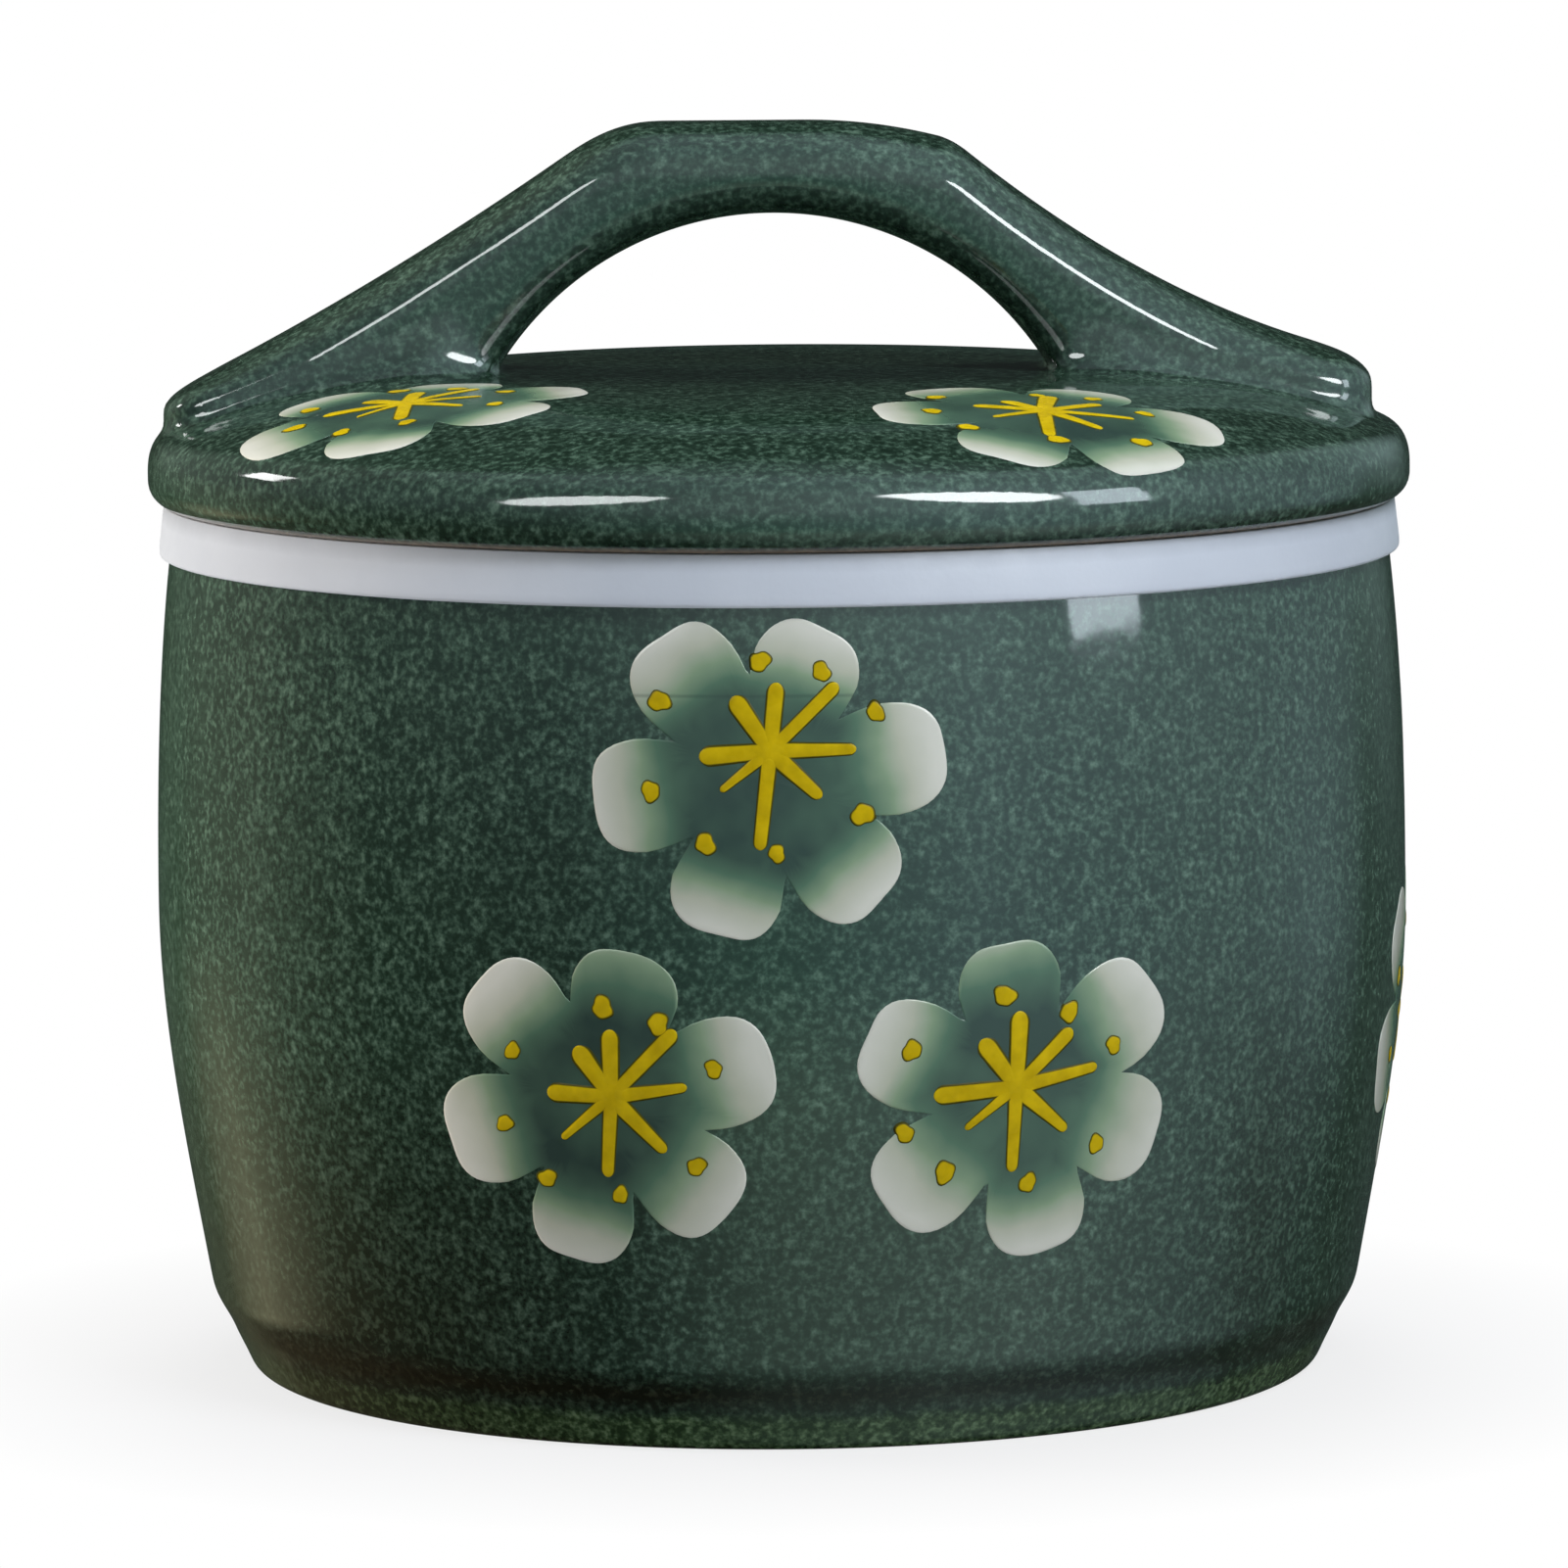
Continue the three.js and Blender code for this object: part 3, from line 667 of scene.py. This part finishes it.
def painted(name, patches, material, body):
    """One object from many painted patches, with their shades kept as the attribute "fade"."""
    points, faces, fades = [], [], []
    count = 0
    for patch_points, patch_faces, patch_fade in patches:
        points.append(patch_points)
        fades.append(patch_fade)
        faces += [tuple(count + i for i in face) for face in patch_faces]
        count += len(patch_points)
    made = made_object(name, np.concatenate(points), faces, [material])
    values = made.data.attributes.new("fade", "FLOAT", "POINT")
    values.data.foreach_set("value", np.concatenate(fades).astype(np.float32))
    tidy_mesh(made.data)
    made.data.shade_smooth()
    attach(made, body)


# Materials

# Heights and places on the jar, in metres
FOOT_LIGHT_LOW, FOOT_LIGHT_HIGH, FOOT_LIGHT_SOFT, FOOT_LIGHT_SHARE = -0.004, 0.0068, 0.0012, 0.8  # paler green at the foot: painted light standing in for light from below
COVE_BROWN_LOW, COVE_BROWN_HIGH, COVE_BROWN_SOFT = 0.0086, 0.0142, 0.0024  # brown band over the cove: thin brown glaze, deepened with painted shade and reflection
COVE_BROWN_LEFT, COVE_BROWN_RIGHT, COVE_BROWN_MOST, COVE_BROWN_LEAST = 0.02, 0.09, 0.85, 0.4  # the painted shade makes it fainter to the right, where the light falls
GLAZE_WANDER, LIP_WANDER, LIP_SOFT = 0.0016, 0.0003, 0.0004
LIP_LOW, LIP_HIGH = (SEAL_TOP - LIP_BELOW) / MM, (SEAL_TOP + LIP_ABOVE) / MM
BROWN_RIGHT, BROWN_LEFT = -0.020, -0.085  # painted shade and brown reflection low at the left, from none to full
BROWN_HIGH, BROWN_LOW, BROWN_MOST = 0.075, 0.020, 0.75
SEAM_LOW, SEAM_HIGH, SEAM_SOFT, SEAM_SHARE = 0.1459, 0.1463, 0.0003, 0.55  # fine dark line across a blossom
# Painted shadow of the lid's overhang on the top of the seal
LID_SHADOW_LOW, LID_SHADOW_HIGH, LID_SHADOW_WANDER, LID_SHADOW_SHARE = (SEAL_TOP - 3.6) / MM, (SEAL_TOP - 0.4) / MM, 0.0004, 0.5


def put(tree, socket, value):
    """Link a socket to another one, or set it to a value or a colour."""
    if isinstance(value, bpy.types.NodeSocket):
        tree.links.new(value, socket)
    elif isinstance(value, tuple):
        socket.default_value = (*value, 1.0)
    else:
        socket.default_value = value


def add(tree, kind, inputs=None, **settings):
    """A node with its settings, and with each input linked to a socket or set to a value."""
    made = tree.nodes.new(kind)
    for key, value in settings.items():
        setattr(made, key, value)
    for key, value in (inputs or {}).items():
        put(tree, made.inputs[key], value)
    return made


def calc(tree, operation, first, second):
    """A sum, product or other reckoning with two values."""
    return add(tree, "ShaderNodeMath", {0: first, 1: second}, operation=operation).outputs[0]


def ramp(tree, factor, stops):
    """A colour ramp with (place, colour) stops."""
    made = add(tree, "ShaderNodeValToRGB", {"Fac": factor})
    elements = made.color_ramp.elements
    while len(elements) < len(stops):
        elements.new(1.0)
    for element, (place, colour) in zip(elements, stops):
        element.position = place
        element.color = (*colour, 1.0)
    return made.outputs["Color"]


def mix(tree, factor, first, second, blend="MIX"):
    made = add(tree, "ShaderNodeMix", data_type="RGBA", blend_type=blend)
    for place, value in ((0, factor), (6, first), (7, second)):
        put(tree, made.inputs[place], value)
    return made.outputs[2]


def place_on(tree):
    """Place on the object, in metres."""
    return add(tree, "ShaderNodeTexCoord").outputs["Object"]


def noise(tree, scale, detail=2.0, roughness=0.5):
    made = add(tree, "ShaderNodeTexNoise", {"Vector": place_on(tree), "Scale": scale, "Detail": detail,
                                            "Roughness": roughness})
    return made.outputs["Fac"]


def map_range(tree, value, low, high, to_low=0.0, to_high=1.0):
    made = add(tree, "ShaderNodeMapRange", {"Value": value, "From Min": low, "From Max": high,
                                            "To Min": to_low, "To Max": to_high})
    return made.outputs["Result"]


def bump(tree, height, distance, strength=1.0):
    made = add(tree, "ShaderNodeBump", {"Height": height, "Distance": distance, "Strength": strength})
    return made.outputs["Normal"]


def new_material(name):
    """A node material, its tree and its Principled shader."""
    material = bpy.data.materials.new(name)
    material.use_nodes = True
    return material, material.node_tree, material.node_tree.nodes["Principled BSDF"]


def set_inputs(tree, shader, **inputs):
    """Link or set the shader's sockets, named with _ in place of a space."""
    for key, value in inputs.items():
        put(tree, shader.inputs[key.replace("_", " ")], value)


def along_axis(tree, axis):
    """Place on the object along its X, Y or Z, in metres."""
    return add(tree, "ShaderNodeSeparateXYZ", {0: place_on(tree)}).outputs[axis]


def height_of(tree, unevenness=0.0):
    """Height on the jar in metres, with an edge that wanders by this much."""
    height = along_axis(tree, "Z")
    if not unevenness:
        return height
    wander = map_range(tree, noise(tree, 160.0, 4.0, 0.7), 0.2, 0.8, -unevenness, unevenness)
    return calc(tree, "ADD", height, wander)


def band(tree, height, low, high, soft):
    """1 between two heights and 0 beyond them, with soft edges."""
    up = map_range(tree, height, low - soft, low + soft)
    down = map_range(tree, height, high - soft, high + soft, 1.0, 0.0)
    return calc(tree, "MULTIPLY", up, down)


def painted_shade_low_left(tree):
    """Share of painted shade and brown reflection, which grows down the jar's left side."""
    aside = map_range(tree, along_axis(tree, "X"), BROWN_RIGHT, BROWN_LEFT)
    down = map_range(tree, height_of(tree), BROWN_HIGH, BROWN_LOW, 0.0, BROWN_MOST)
    return calc(tree, "MULTIPLY", aside, down)


def glaze_material():
    """Glossy dark green glaze: a mottled ground and fine pale flecks, a bare brown edge under the lid,
    painted light at the foot, painted shade and brown reflection low at the left, and a brown band over the
    cove that is thin glaze deepened with painted shade.
    """
    material, tree, shader = new_material("green_glaze")
    fine = noise(tree, 720.0, 2.5, 0.55)
    patchy = map_range(tree, noise(tree, 210.0, 2.0), 0.3, 0.7, -0.05, 0.05)
    grain = calc(tree, "ADD", patchy, fine)
    colour = ramp(tree, grain, [(0.36, (0.010, 0.023, 0.014)), (0.48, (0.021, 0.044, 0.028)),
                                (0.60, (0.052, 0.098, 0.065)), (0.76, (0.125, 0.200, 0.140))])
    cloud = map_range(tree, noise(tree, 30.0, 3.0), 0.3, 0.7, 0.0, 0.25)
    colour = mix(tree, cloud, colour, (0.018, 0.036, 0.022))
    height = height_of(tree, GLAZE_WANDER)
    # Painted light: the glaze is made paler at the foot in place of light from below.
    lit_foot_colour = ramp(tree, grain, [(0.40, (0.028, 0.055, 0.020)), (0.54, (0.080, 0.138, 0.056)),
                                (0.70, (0.210, 0.310, 0.150))])
    foot_light = band(tree, height, FOOT_LIGHT_LOW, FOOT_LIGHT_HIGH, FOOT_LIGHT_SOFT)
    colour = mix(tree, map_range(tree, foot_light, 0.0, 1.0, 0.0, FOOT_LIGHT_SHARE), colour, lit_foot_colour)
    # Brown for the cove and the low left: partly thin glaze, partly painted shade and reflection of a dark
    # table.
    brown_glaze_and_painted_shade = mix(tree, map_range(tree, fine, 0.45, 0.75), (0.0085, 0.006, 0.003), (0.030, 0.026, 0.012))
    # Painted shade and brown reflection low on the left.
    colour = mix(tree, painted_shade_low_left(tree), colour, brown_glaze_and_painted_shade)
    # Brown band over the cove, fainter to the right: thin glaze with painted shade and reflection.
    cove_band = band(tree, height, COVE_BROWN_LOW, COVE_BROWN_HIGH, COVE_BROWN_SOFT)
    fainter = map_range(tree, along_axis(tree, "X"), COVE_BROWN_LEFT, COVE_BROWN_RIGHT, COVE_BROWN_MOST, COVE_BROWN_LEAST)
    colour = mix(tree, calc(tree, "MULTIPLY", cove_band, fainter), colour, brown_glaze_and_painted_shade)
    lip = band(tree, height_of(tree, LIP_WANDER), LIP_LOW, LIP_HIGH, LIP_SOFT)
    colour = mix(tree, lip, colour, mix(tree, grain, (0.10, 0.075, 0.05), (0.24, 0.18, 0.12)))
    set_inputs(tree, shader, Base_Color=colour,
               Roughness=map_range(tree, noise(tree, 90.0, 2.0), 0.3, 0.7, 0.05, 0.10),
               Normal=bump(tree, noise(tree, 130.0, 2.0), 0.00004))
    return material


def petal_material():
    """Blossom paint under the glaze: teal in the middle, then green, then a warm white."""
    material, tree, shader = new_material("blossom_paint")
    fade = add(tree, "ShaderNodeAttribute", attribute_name="fade").outputs["Fac"]
    uneven = map_range(tree, noise(tree, 48.0, 3.0), 0.25, 0.75, -0.09, 0.17)
    fade = calc(tree, "ADD", fade, uneven)
    colour = ramp(tree, fade, [(0.0, (0.032, 0.060, 0.047)), (0.25, (0.092, 0.175, 0.108)),
                               (0.45, (0.25, 0.35, 0.21)), (0.66, (0.54, 0.55, 0.42)),
                               (0.95, (0.75, 0.73, 0.62))])
    seam = band(tree, height_of(tree), SEAM_LOW, SEAM_HIGH, SEAM_SOFT)
    colour = mix(tree, map_range(tree, seam, 0.0, 1.0, 0.0, SEAM_SHARE), colour, (0.030, 0.056, 0.044))
    set_inputs(tree, shader, Base_Color=colour, Specular_IOR_Level=0.3,
               Roughness=map_range(tree, noise(tree, 120.0), 0.3, 0.7, 0.16, 0.26),
               Normal=bump(tree, noise(tree, 400.0, 2.0), 0.00002))
    return material


def stamen_material():
    """Thick yellow enamel with an olive rim of painted shade."""
    material, tree, shader = new_material("stamen_enamel")
    fade = add(tree, "ShaderNodeAttribute", attribute_name="fade").outputs["Fac"]
    cloud = ramp(tree, noise(tree, 260.0, 3.0), [(0.3, (0.56, 0.38, 0.003)), (0.7, (0.74, 0.52, 0.005))])
    # Painted shade: the raised edges of strokes and drops are darkened to olive.
    edge_shade = map_range(tree, fade, 0.45, 0.85, 0.0, 0.95)
    colour = mix(tree, edge_shade, cloud, (0.035, 0.038, 0.004))
    set_inputs(tree, shader, Base_Color=colour, Specular_IOR_Level=0.05,
               Roughness=map_range(tree, noise(tree, 300.0), 0.3, 0.7, 0.22, 0.34),
               Normal=bump(tree, noise(tree, 800.0, 2.0), 0.00003))
    return material


def liner_material():
    """Plain pale glaze inside the jar and under the lid."""
    material, tree, shader = new_material("liner_glaze")
    cloud = noise(tree, 30.0, 3.0)
    colour = ramp(tree, cloud, [(0.3, (0.55, 0.56, 0.50)), (0.7, (0.66, 0.66, 0.61))])
    speck = ramp(tree, noise(tree, 420.0, 2.0), [(0.24, (1, 1, 1)), (0.30, (0, 0, 0))])
    set_inputs(tree, shader, Base_Color=mix(tree, speck, colour, (0.25, 0.22, 0.15)),
               Roughness=map_range(tree, noise(tree, 80.0), 0.3, 0.7, 0.14, 0.24),
               Normal=bump(tree, noise(tree, 120.0), 0.00004))
    return material


def clay_material():
    """Bare fired stoneware where the pieces stand in the kiln."""
    material, tree, shader = new_material("bare_stoneware")
    grain = noise(tree, 900.0, 4.0, 0.7)
    colour = ramp(tree, noise(tree, 55.0, 4.0), [(0.3, (0.33, 0.24, 0.16)), (0.7, (0.46, 0.36, 0.26))])
    sand = ramp(tree, grain, [(0.3, (0.2, 0.15, 0.1)), (0.7, (0.6, 0.5, 0.38))])
    set_inputs(tree, shader, Base_Color=mix(tree, 0.35, colour, sand),
               Roughness=map_range(tree, grain, 0.3, 0.7, 0.7, 0.95),
               Normal=bump(tree, grain, 0.00015))
    return material


def silicone_material():
    """Satin white silicone, greyer towards its top, where a shadow of the lid's edge is painted."""
    material, tree, shader = new_material("white_silicone")
    cloud = noise(tree, 45.0, 4.0)
    colour = ramp(tree, cloud, [(0.3, (0.60, 0.625, 0.67)), (0.7, (0.645, 0.67, 0.71))])
    # Painted shadow: the seal greys towards its top, under the lid's edge.
    lid_shadow = map_range(tree, height_of(tree, LID_SHADOW_WANDER), LID_SHADOW_LOW, LID_SHADOW_HIGH, 0.0, LID_SHADOW_SHARE)
    colour = mix(tree, lid_shadow, colour, (0.30, 0.31, 0.33))
    set_inputs(tree, shader, Base_Color=colour, Specular_IOR_Level=0.3,
               Roughness=map_range(tree, noise(tree, 300.0, 3.0), 0.3, 0.7, 0.45, 0.60),
               Normal=bump(tree, noise(tree, 700.0, 2.0), 0.00003))
    return material


# Stage

CAMERA_PLACE = Vector((0.000557, -1.9402, 0.3471))
CAMERA_PITCH = math.radians(6.824)  # how far it looks down
CAMERA_ROLL = math.radians(-0.447)
FOCAL_PIXELS = 10000.0
IMAGE_WIDTH = 1601.0
LAMP_TARGET = Vector((0, 0, 0.13))
FLOOR_RADIUS, FLOOR_SIDES = 1.5, 96
SHADOW_NEAR, SHADOW_FAR, SHADOW_LEAST = 0.09, 0.19, 0.74  # the floor whitens from the jar outwards
AMBIENT = (0.09, 0.095, 0.10)
ROOM_RADIUS = 4.0
# Brightness of the dim room by azimuth, 0 in front and 90 at the right, in tiers from the lowest up
ROOM_LOWEST = ((-180, (0.02, 0.02, 0.02)), (-128, (0.14, 0.12, 0.07)), (-78, (0.03, 0.03, 0.01)),
               (-35, (0.06, 0.08, 0.06)), (0, (0.70, 1.00, 0.85)), (50, (1.10, 1.50, 1.40)),
               (85, (0.60, 0.80, 0.80)), (124, (0.08, 0.10, 0.08)), (180, (0.02, 0.02, 0.02)))
ROOM_LOW = ((-180, (0.02, 0.02, 0.02)), (-148, (0.16, 0.17, 0.10)), (-128, (0.90, 0.86, 0.52)),
            (-102, (0.22, 0.22, 0.12)), (-78, (0.03, 0.03, 0.01)), (-35, (0.08, 0.11, 0.08)),
            (0, (0.80, 1.25, 1.00)), (50, (1.15, 1.65, 1.60)), (85, (0.60, 0.85, 0.85)),
            (104, (0.25, 0.30, 0.30)), (124, (0.05, 0.07, 0.05)), (180, (0.02, 0.02, 0.02)))
ROOM_LEVEL = ((-180, (0.02, 0.03, 0.03)), (-145, (0.08, 0.13, 0.08)), (-112, (0.35, 0.40, 0.28)),
              (-78, (0.03, 0.04, 0.03)), (-40, (0.08, 0.12, 0.11)), (0, (0.36, 0.76, 0.66)),
              (36, (0.85, 1.30, 1.40)), (82, (0.72, 1.05, 1.10)), (112, (0.55, 0.80, 0.85)),
              (134, (0.08, 0.13, 0.11)), (180, (0.02, 0.03, 0.03)))
ROOM_HIGH = ((-180, (0.012, 0.014, 0.014)), (-163, (0.02, 0.02, 0.02)), (-146, (0.22, 0.28, 0.24)),
             (-112, (0.30, 0.32, 0.32)), (-75, (0.30, 0.40, 0.42)), (-40, (0.40, 0.60, 0.60)),
             (0, (1.05, 1.45, 1.45)), (35, (1.45, 2.05, 2.15)), (80, (1.10, 1.55, 1.65)),
             (115, (0.50, 0.70, 0.75)), (146, (0.42, 0.60, 0.60)), (163, (0.02, 0.025, 0.025)),
             (180, (0.012, 0.014, 0.014)))
ROOM_CEILING = ((-180, (0.70, 0.95, 1.00)), (-110, (0.50, 0.65, 0.70)), (0, (0.85, 1.20, 1.25)),
                (120, (1.00, 1.40, 1.45)), (180, (0.70, 0.95, 1.00)))
# Elevation of each tier, and how the room darkens below the jar
ROOM_TIERS = ((-27, ROOM_LOWEST), (-20, ROOM_LOW), (-6, ROOM_LEVEL), (9, ROOM_HIGH), (48, ROOM_HIGH),
              (76, ROOM_CEILING))
ROOM_UP = ((-90, (0.2, 0.2, 0.2)), (-55, (0.35, 0.35, 0.35)), (-30, (0.8, 0.8, 0.8)), (-8, (1.0, 1.0, 1.0)))


def camera():
    """The camera that was fitted to the photograph."""
    data = bpy.data.cameras.new("camera")
    data.sensor_width = 36.0
    data.lens = FOCAL_PIXELS / IMAGE_WIDTH * data.sensor_width
    made = bpy.data.objects.new("camera", data)
    tilt = Matrix.Rotation(math.pi / 2 - CAMERA_PITCH, 4, "X") @ Matrix.Rotation(CAMERA_ROLL, 4, "Z")
    made.matrix_world = Matrix.Translation(CAMERA_PLACE) @ tilt
    bpy.context.scene.collection.objects.link(made)
    bpy.context.scene.camera = made


def softbox(name, azimuth, elevation, distance, width, height, watts, colour, mirrored,
            shape="RECTANGLE", turn=0):
    """A soft lamp aimed at the jar, which either lights it or is only mirrored in its gloss."""
    data = bpy.data.lights.new(name, "AREA")
    data.shape = shape
    data.size = width
    data.size_y = height
    data.energy = watts
    data.color = colour
    made = bpy.data.objects.new(name, data)
    a, e = math.radians(azimuth), math.radians(elevation)
    way = Vector((math.sin(a) * math.cos(e), -math.cos(a) * math.cos(e), math.sin(e)))
    made.location = LAMP_TARGET + distance * way
    spin = Matrix.Rotation(math.radians(turn), 3, "Z").to_quaternion()
    made.rotation_euler = (way.to_track_quat("Z", "Y") @ spin).to_euler()
    made.visible_glossy = mirrored
    made.visible_diffuse = not mirrored
    bpy.context.scene.collection.objects.link(made)


def white_where_seen(tree):
    """1 for the rays that show the background, and 0 for those that only carry light."""
    path = add(tree, "ShaderNodeLightPath")
    seen = calc(tree, "MAXIMUM", path.outputs["Is Camera Ray"], path.outputs["Is Glossy Ray"])
    return calc(tree, "MAXIMUM", seen, path.outputs["Is Transmission Ray"])


def white_world():
    """A background that is white where it shows and lights the jar only dimly."""
    world = bpy.data.worlds.new("white_world")
    bpy.context.scene.world = world
    world.use_nodes = True
    tree = world.node_tree
    colour = mix(tree, white_where_seen(tree), AMBIENT, (1.0, 1.0, 1.0))
    tree.links.new(colour, tree.nodes["Background"].inputs["Color"])


def stage_piece(name, work):
    """A piece of the stage from this mesh, and its material with only the output in it."""
    mesh = bpy.data.meshes.new(name)
    work.to_mesh(mesh)
    work.free()
    mesh.shade_smooth()
    made = bpy.data.objects.new(name, mesh)
    bpy.context.scene.collection.objects.link(made)
    material = bpy.data.materials.new(name)
    material.use_nodes = True
    material.node_tree.nodes.remove(material.node_tree.nodes["Principled BSDF"])
    mesh.materials.append(material)
    return made, material


def floor():
    """A pale floor round the jar that keeps its shadow and runs out into the white background."""
    work = bmesh.new()
    bmesh.ops.create_circle(work, cap_ends=True, segments=FLOOR_SIDES, radius=FLOOR_RADIUS)
    made, material = stage_piece("floor", work)
    tree = material.node_tree
    far = add(tree, "ShaderNodeVectorMath", {0: place_on(tree)}, operation="LENGTH").outputs["Value"]
    fade = map_range(tree, far, SHADOW_NEAR, SHADOW_FAR, SHADOW_LEAST, 1.0)
    seen = calc(tree, "MULTIPLY", fade, white_where_seen(tree))
    pale = add(tree, "ShaderNodeBsdfDiffuse", {"Color": (0.5, 0.5, 0.5)})
    white = add(tree, "ShaderNodeEmission", {"Color": (1.0, 1.0, 1.0), "Strength": 1.0})
    both = add(tree, "ShaderNodeMixShader", {0: seen, 1: pale.outputs[0], 2: white.outputs[0]})
    tree.links.new(both.outputs[0], tree.nodes["Material Output"].inputs["Surface"])
    made.visible_glossy = False


def dim_room():
    """The dim studio that the glaze mirrors: brighter in front and at the right, dark behind and below."""
    work = bmesh.new()
    bmesh.ops.create_uvsphere(work, u_segments=64, v_segments=32, radius=ROOM_RADIUS)
    bmesh.ops.reverse_faces(work, faces=work.faces)
    made, material = stage_piece("dim_room", work)
    for kind in ("camera", "diffuse", "transmission", "volume_scatter", "shadow"):
        setattr(made, "visible_" + kind, False)
    material.cycles.emission_sampling = "NONE"
    tree = material.node_tree
    x, y, z = add(tree, "ShaderNodeSeparateXYZ", {0: place_on(tree)}).outputs
    azimuth = calc(tree, "ARCTAN2", x, calc(tree, "MULTIPLY", y, -1.0))
    turn = map_range(tree, azimuth, -math.pi, math.pi)
    tiers = []
    for elevation, stops in ROOM_TIERS:
        around = ramp(tree, turn, [((degrees + 180) / 360, colour) for degrees, colour in stops])
        tiers.append((ROOM_RADIUS * math.sin(math.radians(elevation)), around))
    walls = tiers[0][1]
    for (below, _), (above, around) in zip(tiers, tiers[1:]):
        walls = mix(tree, map_range(tree, z, below, above), walls, around)
    rise = map_range(tree, z, -ROOM_RADIUS, ROOM_RADIUS)
    up = ramp(tree, rise, [(0.5 + 0.5 * math.sin(math.radians(degrees)), shade)
                           for degrees, shade in ROOM_UP])
    walls = mix(tree, 1.0, walls, up, "MULTIPLY")
    seen = add(tree, "ShaderNodeEmission", {"Color": walls, "Strength": 1.0})
    tree.links.new(seen.outputs[0], tree.nodes["Material Output"].inputs["Surface"])


bpy.context.scene.view_settings.view_transform = "Standard"

camera()
white_world()
floor()
dim_room()
# Lamps: azimuth, elevation, distance, width, height in metres, watts, colour, and whether only mirrored
softbox("key_right", 37, 46, 1.6, 0.6, 0.5, 18.0, (0.90, 0.97, 1.10), False)
softbox("fill_left", -103, 11, 1.6, 0.5, 0.6, 25.0, (1.06, 1.0, 0.95), False)
softbox("top_behind", 180, 64, 1.6, 0.6, 0.6, 13.0, (0.95, 1.0, 1.03), False)
softbox("streak_right", 36, 26, 1.6, 0.98, 0.50, 27.0, (0.95, 1.0, 1.02), True, "ELLIPSE", -42)
softbox("streak_left", -36, 25, 1.6, 0.92, 0.42, 13.5, (0.95, 1.0, 1.0), True, "ELLIPSE", 42)
softbox("glint_left", -109, 23, 1.6, 0.28, 0.28, 3.2, (1.0, 1.0, 1.0), True)
softbox("window_right", 61, 15, 2.5, 0.64, 0.97, 17.0, (0.85, 0.97, 1.06), True)

glaze, liner, clay, silicone = glaze_material(), liner_material(), clay_material(), silicone_material()
petal_paint, enamel = petal_material(), stamen_material()

jar = turned("jar_glazed", jar_parts(), [clay, glaze, liner])
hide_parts("jar_body")
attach(jar, "jar")

seal = turned("seal_silicone", [seal_profile()], [silicone])
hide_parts("seal_ring")
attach(seal, "seal")

lid = lid_mesh([glaze, liner, clay])
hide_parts("lid")
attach(lid, "lid")

draw = random.Random(SEED)
wall_petals, wall_stamens = [], []
for group in GROUP_AZIMUTHS:
    for azimuth, height, turn, hub, depths in WALL_FLOWERS:
        laid = on_wall(group + azimuth, height)
        wall_petals.append(petals(laid, turn, depths, draw))
        wall_stamens += stamens(laid, hub, draw)
painted("jar_petals", wall_petals, petal_paint, "jar")
painted("jar_stamens", wall_stamens, enamel, "jar")

lid_petals, lid_stamens = [], []
for middle, turn, hub, depths in LID_FLOWERS:
    laid = on_lid(*middle)
    lid_petals.append(petals(laid, turn, depths, draw))
    lid_stamens += stamens(laid, hub, draw)
painted("lid_petals", lid_petals, petal_paint, "lid")
painted("lid_stamens", lid_stamens, enamel, "lid")
